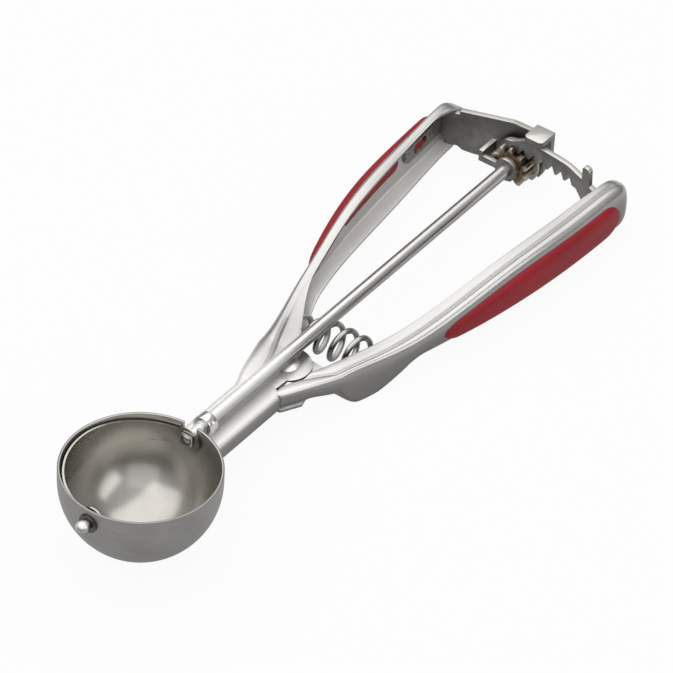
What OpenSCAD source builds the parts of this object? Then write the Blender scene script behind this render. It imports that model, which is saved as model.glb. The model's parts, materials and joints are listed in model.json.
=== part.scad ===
// Squeeze-handle ice cream scoop with a rack-and-pinion scraper.
//
// All pieces are drawn in the tool's own frame: X runs along the drive rod from the
// bowl to the handles, Y points to the fixed handle and Z points out of the bowl, with
// the bowl's centre at zero. seat() then lays the tool down as it rests on a table:
// the origin is the point where the bowl touches the table.

/* [Bowl] */
// Outer radius of the bowl
bowl_r = 25.2; // [22:0.1:28]
// Thickness of the bowl's wall
bowl_wall = 0.9; // [0.6:0.1:1.4]
// Height of the rim above the drive axis
rim_h = 4.8; // [3.5:0.1:7]
// Width of the slot in the rim that the rod passes through
rim_slot_w = 5.2; // [4.6:0.1:6]

/* [Scraper] */
// Gap between the scraper strip and the bowl's wall
scraper_gap = 0.5; // [0.3:0.1:1]
// Thickness of the scraper strip
scraper_t = 0.6; // [0.4:0.1:1]
// Width of the strip at the middle of the bowl
scraper_w = 11; // [8:0.1:14]
// Radius of the round ears at both ends of the strip
scraper_ear_r = 4.4; // [3.8:0.1:5]
// Angle of the strip's middle below the rim plane at rest
scraper_rest = 4; // [0:0.5:10]
// Angle that the scraper sweeps over a full squeeze
scraper_sweep = 160; // [120:1:165]

/* [Rod] */
// Diameter of the drive rod
rod_d = 4.5; // [4.2:0.1:5]
// Diameter of the rod's nose, between the front bearing and the bowl
nose_d = 3.8; // [3:0.1:4]
// Radial running clearance of the rod in its bearings
run_gap = 0.06; // [0.02:0.01:0.1]
// Diameter of the ball on the front pin
ball_d = 5.4; // [4:0.1:7]
// Diameter of the front pin's shank
pin_d = 2.8; // [2:0.1:3.2]
// Outer diameter of the front bearing ring
bearing_d = 7; // [6.6:0.1:7.4]
// Length of the front bearing ring
bearing_len = 4; // [3:0.1:6]

/* [Gear] */
// Tooth module of the pinion and the rack
gear_m = 1.25; // [1.15:0.01:1.3]
// Number of teeth on the pinion
pinion_teeth = 10; // [9:1:10]
// Length of the toothed part of the pinion
pinion_len = 4.8; // [4.2:0.1:5.2]
// Play between the teeth, measured along the pitch line
backlash = 0.2; // [0.15:0.01:0.3]
// Number of tooth gaps in the rack
rack_gaps = 8; // [8:1:9]
// Thickness of the rack plate and of the bracket plate
plate_t = 2; // [1.6:0.1:2.2]
// Height of the rack plate above its tooth roots
rack_back = 4.2; // [3.6:0.1:5]
// Height of the stop tab above the rack plate
stop_h = 3.8; // [2.5:0.1:6]

/* [Neck] */
// Width of the neck
neck_w = 15; // [13:0.1:17]
// Depth of the neck
neck_h = 6.8; // [6.4:0.1:8]
// Distance from the drive axis down to the top of the neck
neck_drop = 3.8; // [3.8:0.1:4.4]
// Distance from the bowl's centre to the handle pivot
pivot_x = 74; // [72:0.5:80]
// Diameter of the pivot rivet's shank
rivet_d = 4; // [3:0.1:5]
// Diameter of the pivot rivet's heads
rivet_head_d = 8.2; // [6.5:0.1:10]

/* [Handles] */
// Distance from the pivot to the middle of the rack plate
reach = 123.8; // [122:0.1:126]
// How far the handles run past the middle of the rack plate
tip_over = 4.7; // [3.5:0.1:8]
// Thickness of the handle sheet
sheet_t = 1; // [0.8:0.1:1.2]
// Depth of the channel at the tips
grip_h = 14.6; // [13:0.1:16]
// How far the finger lobes hang below the channels
lobe_h = 5.6; // [3:0.1:6]
// Depth of the groove along the handles' tops
groove_d = 0.5; // [0.2:0.1:0.6]
// How far the grip pads stand proud of the handles
pad_t = 1.9; // [1.2:0.1:2.6]
// Distance from the rod to the tip of the fixed handle
left_spread = 24.1; // [23:0.1:27]
// Distance from the rod to the tip of the lever at rest
right_spread = 36.9; // [36:0.1:40]

/* [Spring] */
// Outer diameter of the spring at its middle
spring_d = 12.8; // [11:0.1:12.8]
// Outer diameter of the spring's end turns
spring_end_d = 8.4; // [7.6:0.1:9]
// Diameter of the spring wire
wire_d = 1.6; // [1.2:0.1:1.8]
// Number of turns
spring_turns = 6.5; // [5:0.5:7]

/* [Hidden] */
$fn = 120;
eps = 0.01;

// ---- curves along the handles ----
// Each curve is a Bernstein polynomial over X, given by its control heights.
tip_x = pivot_x + reach + tip_over;
curve_x0 = pivot_x + 0.4 * neck_w;
curve_x1 = tip_x + 1.5 * sheet_t;
lip_l = left_spread * [-0.021, 0.763, 0.929, 0.668, 1.075, 1];
back_l = left_spread * [0.627, 0.851, 1.373, 1.195, 1.324];
lip_r = right_spread * [0.279, 0.556, 0.902, 0.862, 1];
back_r = right_spread * [0.474, 0.789, 1.079, 1.117, 1.19];
rise = concat([-neck_drop], grip_h * [-0.062, -0.89, 2.075, -0.342, 1.13, 0.637]);
// A station along the handles, as a share of the way from the pivot to the rack
function along(share) = pivot_x + share * reach;
groove_front = 0.62;
groove_rear = 0.35;

function blend(v, t) =
    len(v) == 1 ? v[0] : blend([for (i = [0:len(v) - 2]) v[i] * (1 - t) + v[i + 1] * t], t);
function at(v, x) = blend(v, (x - curve_x0) / (curve_x1 - curve_x0));
function top_z(x) = at(rise, x);
function slope(v, x) = atan2(at(v, x + 1) - at(v, x - 1), 2);

// Underside: a straight line from the neck to the tip, with the finger lobe below it
lobe_x0 = along(0.024);
lobe_x1 = along(0.323);
lobe_peak = 0.4;
tip_round = 6 * sheet_t;
function lobe(u) =
    u <= 0 || u >= 1 ? 0
    : u < lobe_peak ? pow(sin(90 * u / lobe_peak), 0.8)
    : pow(cos(90 * (u - lobe_peak) / (1 - lobe_peak)), 2);
neck_bottom = -neck_drop - neck_h;
tip_bottom = rise[6] - grip_h;
function base_z(x) =
    neck_bottom + (tip_bottom - neck_bottom) * max(0, (x - curve_x0) / (curve_x1 - curve_x0));
function low_z(x) = base_z(x) - lobe_h * lobe((x - lobe_x0) / (lobe_x1 - lobe_x0));

// ---- how the tool lies on the table ----
rest_x = lobe_x0 + lobe_peak * (lobe_x1 - lobe_x0);
tip_rest_x = tip_x - tip_round;
function lie(x, z) = asin(bowl_r / norm([x, z])) + atan2(z, x);
pitch = min(lie(rest_x, low_z(rest_x)), lie(tip_rest_x, low_z(tip_rest_x)));
module seat() translate([0, 0, bowl_r]) rotate([0, pitch, 0]) children();

// ---- gear ----
pitch_r = gear_m * pinion_teeth / 2;
tooth_step = PI * gear_m;
addendum = 0.86 * gear_m;
dedendum = 1.1 * gear_m;
flank = 25;
pinion_tip_r = pitch_r + addendum;
pinion_root_r = pitch_r - dedendum;
rack_tip_z = pitch_r - addendum;
rack_root_z = pitch_r + dedendum;
rack_top_z = rack_root_z + rack_back;
half_tooth = tooth_step / 4 - backlash / 4;
lever_angle = scraper_sweep * pitch_r / reach;
travel = scraper_sweep * PI / 180 * pitch_r;

// ---- stations along the rod ----
rack_mid_x = pivot_x + reach;
pinion_x = rack_mid_x - pinion_len / 2 - 0.4;
flange_t = 0.9;
flange_x = pinion_x + pinion_len;
washer_t = 0.5;
ear_t = 1.6;
ear_x = pinion_x - washer_t - ear_t - 0.1;
web_x = flange_x + flange_t + 1.5;
end_d = rod_d - 1;
inner_r = bowl_r - bowl_wall;
strip_r = inner_r - scraper_gap;
bearing_x = bowl_r + 5;
ring_gap = 0.2;

// ---- helpers ----
module along_x(x, d, len) translate([x, 0, 0]) rotate([0, 90, 0]) cylinder(d = d, h = len);
module slab(z, t) translate([0, 0, z]) linear_extrude(t) children();
module at_pivot(r, z, t) translate([pivot_x, 0, z]) cylinder(r = r, h = t);
module round_rect(w, h, r) {
    square([w, h - 2 * r], center = true);
    square([w - 2 * r, h], center = true);
    for (sx = [-1, 1], sy = [-1, 1])
        translate([sx * (w / 2 - r), sy * (h / 2 - r)]) circle(r);
}
// A closed skin over a row of rings with the same number of points
module loft(rings) {
    n = len(rings[0]);
    m = len(rings);
    sides = [
        for (k = [0:m - 2], i = [0:n - 1]) let (j = (i + 1) % n)
            each [[k * n + i, k * n + j, (k + 1) * n + j],
                  [k * n + i, (k + 1) * n + j, (k + 1) * n + i]]
    ];
    first = [for (i = [1:n - 2]) [0, i + 1, i]];
    last = [for (i = [1:n - 2]) [(m - 1) * n, (m - 1) * n + i, (m - 1) * n + i + 1]];
    polyhedron(points = [for (r = rings) each r], faces = concat(sides, first, last));
}

// ---- handles ----
back_power = 0.77;
back_steps = 10;
function tip_s(x) = max(0, (x - tip_x + tip_round) / tip_round);
function tip_in(x) = 0.3 + 0.7 * sqrt(1 - pow(min(1, tip_s(x)), 2));
function tip_low(x) = 1 - 0.22 * pow(tip_s(x), 2);
function spow(v, e) = sign(v) * pow(abs(v), e);
function groove_at(x) =
    groove_front + (groove_rear - groove_front) * (x - curve_x0) / (curve_x1 - curve_x0);
// The D-shaped section of a handle at x; skin insets it, open pushes its mouth out
function section(lip, back, x, skin, open) =
    let (
        yl = at(lip, x),
        yb = yl + (at(back, x) - yl) * tip_in(x),
        yg = yl + (yb - yl) * groove_at(x),
        zm = (top_z(x) + low_z(x)) / 2,
        hz = (top_z(x) - low_z(x)) / 2 * tip_low(x) - skin,
        yo = yl - open,
        g = skin > 0 ? 0 : groove_d
    )
    concat(
        [[x, yo, zm - hz], [x, yo, zm + hz - 0.2], [x, yo + 0.3, zm + hz]],
        [[x, yg - 0.9, zm + hz], [x, yg - 0.2, zm + hz - g], [x, yg + 0.3, zm + hz - g]],
        [
            for (k = [1:back_steps]) let (a = 90 - 180 * k / back_steps)
                [x, yg + (yb - skin - yg) * spow(cos(a), back_power), zm + hz * spow(sin(a), back_power)]
        ]
    );
grip_steps = 22;
function stations(x0, x1) = concat(
    [for (k = [0:grip_steps]) x0 + (x1 - tip_round - x0) * k / grip_steps],
    [for (s = [0.35, 0.6, 0.8, 0.93, 1]) x1 - tip_round * (1 - s)]
);
module handle_skin(lip, back)
    loft([for (x = stations(curve_x0, tip_x)) section(lip, back, x, 0, 0)]);
module handle_hollow(lip, back)
    loft([
        for (x = stations(curve_x0 - sheet_t, tip_x - sheet_t))
            section(lip, back, x, sheet_t, 8)
    ]);

// Windows in the back wall that the grips are moulded through
slot_x0 = along(0.452);
slot_x1 = along(0.727);
slot_w = 5;
oval_x = along(0.889);
oval_w = 5;
oval_l = 9;
function mid_z(x) = (top_z(x) + low_z(x)) / 2;
// A round-ended plug through the back wall between x0 and x1, from y0 to y1
module plug(x0, x1, w, y0, y1) {
    a = atan2(mid_z(x1) - mid_z(x0), x1 - x0);
    l = norm([x1 - x0, mid_z(x1) - mid_z(x0)]) - w;
    translate([(x0 + x1) / 2, y0, (mid_z(x0) + mid_z(x1)) / 2]) rotate([0, -a, 0]) {
        translate([-l / 2, 0, -w / 2]) cube([l, y1 - y0, w]);
        for (s = [-1, 1])
            translate([s * l / 2, 0, 0]) rotate([-90, 0, 0]) cylinder(d = w, h = y1 - y0);
    }
}
module windows(back, shrink, y0, y1) {
    plug(slot_x0 + shrink, slot_x1 - shrink, slot_w - 2 * shrink, y0, y1);
    plug(oval_x - oval_l / 2 + shrink, oval_x + oval_l / 2 - shrink, oval_w - 2 * shrink, y0, y1);
}

// Silicone pad on the back of a handle
pad_x0 = along(0.347);
pad_x1 = tip_x - 5;
pad_steps = 18;
function pad_s(x) = (x - pad_x0) / (pad_x1 - pad_x0);
function pad_out(x) = pad_t * pow(sin(180 * min(0.999, max(0.001, pad_s(x)))), 0.45);
function pad_end(x) =
    let (nose = min(1, (x - pad_x0) / 4), tail = min(1, (pad_x1 - x) / 8))
    max(0.2, sqrt(1 - pow(1 - nose, 2)) * sqrt(1 - pow(1 - tail, 2)));
function pad_top(x) = top_z(x) - 3;
function pad_low(x) = low_z(x) + 1.4;
function pad_mid(x) = (pad_top(x) + pad_low(x)) / 2;
function pad_half(x) = (pad_top(x) - pad_low(x)) / 2 * pad_end(x);
function pad_section(lip, back, x) =
    let (
        yl = at(lip, x),
        yb = yl + (at(back, x) - yl) * tip_in(x),
        yg = yl + (yb - yl) * groove_at(x) + 0.8,
        zm = pad_mid(x),
        hz = pad_half(x)
    )
    [
        for (k = [0:12]) let (a = 90 - 180 * k / 12)
            [x, yg + (yb + pad_out(x) - yg) * spow(cos(a), 0.62), zm + hz * spow(sin(a), 0.8)]
    ];
module pad(lip, back)
    difference() {
        loft([
            for (k = [0:pad_steps]) let (s = k / pad_steps, e = 0.5 - 0.5 * cos(180 * s))
                pad_section(lip, back, pad_x0 + (pad_x1 - pad_x0) * e)
        ]);
        handle_skin(lip, back);
    }
module grip(lip, back) {
    pad(lip, back);
    intersection() {
        windows(back, run_gap, at(lip, slot_x0), at(back, pad_x1) + 1);
        difference() {
            loft([for (x = stations(curve_x0, tip_x)) section(lip, back, x, -0.4, 0)]);
            handle_hollow(lip, back);
        }
    }
}

// ---- frame ----
module bowl() color("gainsboro") seat() difference() {
    union() {
        sphere(bowl_r);
        cylinder(r = bowl_r, h = rim_h);
    }
    sphere(inner_r);
    cylinder(r = inner_r, h = bowl_r);
    translate([0, 0, rim_h]) cylinder(r = 2 * bowl_r, h = bowl_r);
    along_x(0, rim_slot_w, 2 * bowl_r);
    translate([0, -rim_slot_w / 2, 0]) cube([2 * bowl_r, rim_slot_w, 2 * rim_h]);
    along_x(-2 * bowl_r, pin_d + 2, 2 * bowl_r);
}
bushing_flange = 0.8;
module front_bushing() color("dimgray") seat() difference() {
    union() {
        difference() {
            along_x(-bowl_r - bushing_flange, pin_d + 3.6, 2);
            sphere(bowl_r);
        }
        intersection() {
            along_x(-bowl_r, pin_d + 2, bowl_r);
            difference() {
                sphere(bowl_r);
                sphere(inner_r);
            }
        }
    }
    along_x(-2 * bowl_r, pin_d + 2 * run_gap, 2 * bowl_r);
}

half_w = neck_w / 2;
pivot_ear_r = 1.067 * half_w;
seat_r = 1.467 * half_w;
ear_gap = 0.4;
plate_gap = 0.1;
neck_z = -neck_drop - neck_h / 2;
seam_x = pivot_x - 1.827 * half_w;
neck_end_x = pivot_x - 2.267 * half_w;
wall_pts = [
    [neck_end_x, half_w], [pivot_x - 1.467 * half_w, 1.307 * half_w],
    [pivot_x - 0.533 * half_w, 1.627 * half_w],
    [curve_x0 + sheet_t, at(back_l, curve_x0 + sheet_t)]
];
plate_end_x = curve_x0 + 4 * sheet_t;
module neck_plate() {
    polygon(concat(
        [[neck_end_x, -half_w]], wall_pts,
        [[plate_end_x, at(back_l, plate_end_x) - sheet_t], [plate_end_x, at(lip_l, plate_end_x)],
         [pivot_x, -0.133 * half_w], [pivot_x - 0.933 * half_w, -0.613 * half_w],
         [seam_x + 0.267 * half_w, -0.587 * half_w], [seam_x, -half_w]]
    ));
}
module left_handle() color("silver") seat() difference() {
    union() {
        // neck tube, from the bowl to the seam
        translate([0.8 * bowl_r, 0, neck_z]) rotate([0, 90, 0]) rotate([0, 0, 90])
            linear_extrude(neck_end_x - 0.8 * bowl_r + eps) difference() {
                round_rect(neck_w, neck_h, 1.8);
                round_rect(neck_w - 2 * sheet_t, neck_h - 2 * sheet_t, 0.8);
            }
        // plates, outer wall and ears between the seam and the channel
        slab(-neck_drop - sheet_t, sheet_t) neck_plate();
        slab(neck_bottom, sheet_t) {
            neck_plate();
            polygon([
                [neck_end_x, -half_w], [pivot_x, 0], [pivot_x - 0.533 * half_w, -seat_r],
                [pivot_x - 0.933 * half_w, -1.493 * half_w],
                [seam_x + 0.08 * half_w, -1.067 * half_w]
            ]);
        }
        slab(neck_bottom, neck_h) polygon(concat(
            wall_pts, [for (i = [3:-1:0]) wall_pts[i] - [-0.3, 1.1 * sheet_t]]
        ));
        slab(neck_bottom, neck_h)
            polygon([
                [neck_end_x, -half_w], [seam_x, -half_w],
                [seam_x - sheet_t / 2, -half_w + sheet_t],
                [neck_end_x, -half_w + sheet_t]
            ]);
        at_pivot(pivot_ear_r, -neck_drop - sheet_t, sheet_t);
        at_pivot(seat_r, neck_bottom, sheet_t);
        difference() {
            handle_skin(lip_l, back_l);
            handle_hollow(lip_l, back_l);
            windows(back_l, 0, at(lip_l, slot_x0), at(back_l, pad_x1) + 8);
        }
    }
    sphere(bowl_r);
    at_pivot(rivet_d / 2, neck_bottom - 1, neck_h + 2);
    // the groove along the neck's top
    translate([bearing_x, 3.4, -neck_drop - 0.3]) cube([25, 0.8, 1]);
}
module left_grip() color("firebrick") seat() grip(lip_l, back_l);

foot_w = 5;
module front_bearing() color("silver") seat() difference() {
    union() {
        along_x(bearing_x, bearing_d, bearing_len);
        translate([bearing_x, -foot_w / 2, -neck_drop]) cube([bearing_len, foot_w, neck_drop]);
    }
    along_x(0, rod_d + 2 * run_gap, 2 * bearing_x);
    // two punch marks beside the crest of the ring
    for (s = [-1, 1])
        rotate([s * 50, 0, 0]) translate([bearing_x + bearing_len / 2, 0, bearing_d / 2 - 0.35])
            cylinder(d = 1.3, h = 2);
}

// Bracket: slanted plate from the fixed handle, rear plate, guide over the rack, front ear
bend_y = 4;
web_low_z = -pinion_tip_r + 0.8;
plate_r = pinion_tip_r + 1.5;
guide_y0 = -11;
guide_y1 = -4;
guide_z = rack_top_z + ring_gap;
guide_x = rack_mid_x - plate_t / 2 - 0.6;
slant_x = rack_mid_x - 0.2;
slant_y = left_spread - 0.6;
slant_a = atan2(web_x - slant_x, slant_y - bend_y);
slant_l = norm([web_x - slant_x, slant_y - bend_y]);
tail_cut = 1.5;
inside = sheet_t + 0.6;
strap_y = pinion_tip_r + 1.7;
strap_t = 1.5;
ear_r = 5.8;
foot_t = 1.5;
foot_gap = 0.4;
foot_x = along(0.84);
module yz_plate(x, t) translate([x, 0, 0]) rotate([90, 0, 90]) linear_extrude(t) children();
// Places a drawing in the X-Z plane against the inside of a handle's back wall
module on_wall(back, x, depth)
    translate([x, at(back, x) - sheet_t - foot_gap, mid_z(x)])
        rotate([0, 0, slope(back, x)]) translate([0, -depth, 0]) rotate([90, -slope(rise, x), 0])
            children();
module foot(back, l)
    on_wall(back, foot_x, 0) linear_extrude(foot_t) {
        w = (top_z(foot_x) - low_z(foot_x)) * 0.4;
        difference() {
            union() {
                translate([0, -w / 2]) square([l, w]);
                circle(d = w);
            }
            translate([oval_x - foot_x - 1.5, 0]) circle(d = oval_w - 0.4);
            translate([oval_x - foot_x + 1.5, 0]) circle(d = oval_w - 0.4);
        }
    }
weld_d = 2.6;
weld_t = 0.3;
module welds(back)
    for (dx = [-1.5, 13])
        on_wall(back, foot_x, foot_t) translate([dx, 0, 0]) cylinder(d = weld_d, h = weld_t);
module gear_bracket() color("dimgray") seat() {
    difference() {
        union() {
            yz_plate(web_x, plate_t) {
                circle(plate_r);
                polygon([
                    [guide_y1 - 1, 0], [bend_y, web_low_z], [bend_y, rack_top_z],
                    [guide_y1 - 1, rack_top_z + ring_gap + eps]
                ]);
                translate([guide_y0, plate_r / 2]) square([guide_y1 - guide_y0, guide_z - plate_r / 2 + eps]);
            }
            translate([guide_x, guide_y0, guide_z])
                cube([web_x + plate_t - guide_x, guide_y1 - guide_y0, plate_t]);
        }
        along_x(web_x - 1, end_d + 2.4, plate_t + 2);
    }
    translate([web_x, bend_y, 0]) rotate([0, 0, slant_a]) rotate([90, 0, 90])
        linear_extrude(plate_t) polygon([
            [-0.2, web_low_z], [slant_l - 3, low_z(slant_x) + 0.5],
            [slant_l - 1.2, low_z(slant_x) + inside],
            [slant_l + 4.8 - tail_cut, low_z(slant_x) + inside],
            [slant_l + 4.8, low_z(slant_x) + inside + 2 * tail_cut],
            [slant_l + 4.8, top_z(slant_x) - inside - 2 * tail_cut],
            [slant_l + 4.8 - tail_cut, top_z(slant_x) - inside],
            [slant_l - 1.2, top_z(slant_x) - inside],
            [slant_l - 1.5, rack_top_z - 1.5], [-0.2, rack_top_z]
        ]);
    foot(back_l, slant_x - foot_x + 1);
    // front ear and the strap that joins it to the slanted plate
    difference() {
        yz_plate(ear_x, ear_t) {
            circle(ear_r);
            translate([0, -1]) square([strap_y + strap_t, ear_r - 1.5]);
        }
        along_x(ear_x - 1, rod_d + 2 * run_gap, ear_t + 2);
    }
    translate([ear_x, strap_y, -1]) cube([web_x - ear_x - 0.3, strap_t, ear_r - 1.5]);
}
module bracket_welds() color("gray") seat() welds(back_l);
module rear_bushing() color("darkgoldenrod") seat() difference() {
    union() {
        along_x(web_x - 0.9, end_d + 4, 0.9);
        along_x(web_x - 0.5, end_d + 2.4, plate_t + 0.5);
    }
    along_x(web_x - 2, end_d + 2 * run_gap, plate_t + 4);
}

// A shallow rivet dome of diameter d and height h on the plane z = 0
module dome(d, h) {
    r = (h * h + d * d / 4) / (2 * h);
    intersection() {
        translate([0, 0, h - r]) sphere(r);
        cylinder(d = 2 * d, h = 2 * h);
    }
}
washer_h = 0.8;
tail_d = 0.8 * rivet_head_d;
module pivot_rivet() color("silver") seat() translate([pivot_x, 0, 0]) {
    translate([0, 0, -neck_drop]) dome(rivet_head_d, neck_drop - rod_d / 2 - 0.3);
    translate([0, 0, neck_bottom - washer_h]) {
        cylinder(d = rivet_d, h = neck_h + washer_h);
        mirror([0, 0, 1]) dome(tail_d, 1.1);
    }
}
module pivot_washer() color("gray") seat() difference() {
    at_pivot(tail_d / 2 + 1.2, neck_bottom - washer_h, washer_h);
    at_pivot(rivet_d / 2, neck_bottom - 2, 4);
}

// ---- lever ----
tongue_r = 1.027 * half_w;
tongue_top = -neck_drop - sheet_t - plate_gap;
tongue_low = neck_bottom + sheet_t + plate_gap;
nose_pts = [
    [seam_x + 0.253 * half_w, -0.693 * half_w], [seam_x + 0.067 * half_w, -0.987 * half_w],
    [pivot_x - 0.533 * half_w, -1.64 * half_w],
    [curve_x0 + 0.4 * sheet_t, -at(back_r, curve_x0) + 0.15 * sheet_t]
];
nose_end_x = curve_x0 + 3 * sheet_t;
module nose_plate() polygon(concat(nose_pts, [
    [nose_end_x, -at(back_r, nose_end_x) + 1.4 * sheet_t], [nose_end_x, -at(lip_r, nose_end_x)],
    [curve_x0 - 0.267 * half_w, -1.227 * half_w], [pivot_x, -1.053 * half_w],
    [pivot_x - 0.8 * half_w, -0.693 * half_w]
]));
module tongue(z) slab(z, sheet_t) {
    nose_plate();
    translate([pivot_x, 0]) circle(tongue_r);
    polygon([
        [pivot_x - 0.667 * half_w, -0.667 * half_w], [pivot_x + 0.8 * half_w, -0.613 * half_w],
        [curve_x0 + sheet_t, -at(lip_r, curve_x0 + sheet_t)],
        [pivot_x - 0.4 * half_w, -1.4 * half_w]
    ]);
}
module right_handle() color("silver") seat() difference() {
    union() {
        mirror([0, 1, 0]) difference() {
            handle_skin(lip_r, back_r);
            handle_hollow(lip_r, back_r);
            windows(back_r, 0, at(lip_r, slot_x0), at(back_r, pad_x1) + 8);
        }
        difference() {
            slab(tongue_top - eps, sheet_t + plate_gap) nose_plate();
            at_pivot(pivot_ear_r + ear_gap, -2 * neck_h, 4 * neck_h);
        }
        tongue(tongue_top - sheet_t);
        tongue(tongue_low);
        slab(tongue_low + eps, -neck_drop - tongue_low - 3 * eps) polygon([
            nose_pts[1], nose_pts[2], nose_pts[3], nose_pts[3] + [0.2, 1.1 * sheet_t],
            nose_pts[2] + [0.2, 1.1 * sheet_t], nose_pts[1] + [0.4, 1.2 * sheet_t]
        ]);
        slab(neck_bottom, sheet_t + plate_gap + eps) polygon([
            nose_pts[2] + [0.3, -0.1], nose_pts[3], nose_pts[3] + [0, sheet_t],
            nose_pts[2] + [0.3, sheet_t]
        ]);
    }
    at_pivot(rivet_d / 2 + run_gap, -2 * neck_h, 4 * neck_h);
}
module right_grip() color("firebrick") seat() mirror([0, 1, 0]) grip(lip_r, back_r);

rack_end_y = tooth_step * 1.5;
rack_tail_y = -right_spread - 4 * sheet_t;
rack_in_x = pivot_x + sqrt(pow(reach, 2) - pow(rack_tail_y, 2));
stop_y1 = guide_y0 - travel - 0.4;
stop_y0 = stop_y1 - 3.2;
step_a = tooth_step / reach * 180 / PI;
gap_half = tooth_step / 2 - half_tooth;
rack_r = reach + plate_t / 2;
module rack_gap() {
    below = 0.3;
    run = dedendum * tan(flank);
    out = (addendum + below) * tan(flank);
    translate([reach - plate_t, 0, 0]) rotate([90, 0, 90]) linear_extrude(2 * plate_t) polygon([
        [-gap_half + run, rack_root_z], [gap_half - run, rack_root_z],
        [gap_half + out, rack_tip_z - below], [-gap_half - out, rack_tip_z - below]
    ]);
}
module gear_rack() color("dimgray") seat() {
    teeth_end_y = -(rack_gaps - 1.5) * tooth_step;
    in_z1 = top_z(rack_in_x) - inside - 0.4;
    in_z0 = low_z(rack_in_x) + inside + 0.4;
    lip_y = -right_spread + 2 * sheet_t;
    difference() {
        intersection() {
            translate([pivot_x, 0, 0]) rotate_extrude(angle = 40, start = -28)
                translate([rack_r - plate_t, in_z0 - 1])
                    square([plate_t, rack_top_z + stop_h + 2 - in_z0]);
            translate([pivot_x + reach / 2, 0, 0]) rotate([90, 0, 90]) linear_extrude(reach)
                polygon([
                    [rack_end_y, rack_tip_z], [rack_end_y, rack_top_z],
                    [teeth_end_y + 3, rack_top_z], [stop_y1, rack_top_z - 1.4],
                    [stop_y1, rack_top_z + stop_h - 0.8], [stop_y1 - 0.8, rack_top_z + stop_h],
                    [stop_y0 + 0.8, rack_top_z + stop_h], [stop_y0, rack_top_z + stop_h - 0.8],
                    [stop_y0 - 0.3, in_z1 + 0.6], [lip_y - 1, in_z1],
                    [rack_tail_y + tail_cut, in_z1], [rack_tail_y, in_z1 - 2 * tail_cut],
                    [rack_tail_y, in_z0 + 2 * tail_cut], [rack_tail_y + tail_cut, in_z0],
                    [lip_y, in_z0], [teeth_end_y - 4.5, 1.5],
                    [teeth_end_y - 1, rack_tip_z]
                ]);
        }
        translate([pivot_x, 0, 0])
            for (k = [-1:rack_gaps - 2]) rotate([0, 0, -k * step_a]) rack_gap();
    }
    mirror([0, 1, 0]) foot(back_r, rack_in_x - foot_x);
}
module rack_welds() color("gray") seat() mirror([0, 1, 0]) welds(back_r);

// ---- drive ----
square_w = 2.6;
washer_w = 4.4;
in_washer_t = 0.5;
rivet_in_x = sqrt(pow(strip_r - scraper_t, 2) - pow(washer_w / sqrt(2), 2)) - in_washer_t - 0.05;
nose_x = strip_r + 0.02;
shoulder_x = bearing_x - 0.8;
end_x = web_x + plate_t + 0.1;
collar_t = 1.4;
module drive_rod() color("silver") seat() {
    along_x(nose_x, nose_d, shoulder_x - nose_x + 1);
    along_x(shoulder_x, rod_d, pinion_x - shoulder_x);
    along_x(pinion_x - 1, end_d, end_x + collar_t - pinion_x + 1);
    translate([end_x + collar_t, 0, 0]) rotate([0, 90, 0]) dome(end_d, 0.5);
    translate([rivet_in_x - 0.05, -square_w / 2, -square_w / 2])
        cube([nose_x - rivet_in_x + 0.3, square_w, square_w]);
    translate([rivet_in_x, 0, 0]) rotate([0, -90, 0]) dome(square_w * 1.5, 0.8);
}
function involute(rb, r) = let (a = acos(rb / r)) tan(a) * 180 / PI - a;
module pinion() color("darkgray") seat() difference() {
    yz_plate(pinion_x, pinion_len) {
        rb = pitch_r * cos(flank);
        half_a = half_tooth / pitch_r * 180 / PI + involute(rb, pitch_r);
        flank_pts = [
            for (s = [0:5]) let (r = max(rb, pinion_root_r) * (1 - s / 5) + pinion_tip_r * s / 5)
                [r, half_a - involute(rb, r)]
        ];
        root_a = half_a + 1;
        circle(pinion_root_r);
        for (k = [0:pinion_teeth - 1]) rotate(90 + k * 360 / pinion_teeth) polygon(concat(
            [[0, 0], (pinion_root_r - 0.2) * [cos(root_a), -sin(root_a)]],
            [for (p = flank_pts) p[0] * [cos(p[1]), -sin(p[1])]],
            [for (i = [5:-1:0]) flank_pts[i][0] * [cos(flank_pts[i][1]), sin(flank_pts[i][1])]],
            [(pinion_root_r - 0.2) * [cos(root_a), sin(root_a)]]
        ));
    }
    along_x(pinion_x - 1, end_d, pinion_len + 2);
}
module ring_x(x, d, hole, t) difference() {
    along_x(x, d, t);
    along_x(x - 1, hole, t + 2);
}
module pinion_flange() color("darkgray") seat()
    ring_x(flange_x, 2 * pinion_tip_r + 2, end_d, flange_t);
module thrust_washer() color("gray") seat()
    ring_x(pinion_x - washer_t, rod_d + 4, rod_d, washer_t);
module rod_end_collar() color("gray") seat() ring_x(end_x, end_d + 3, end_d, collar_t);

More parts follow.
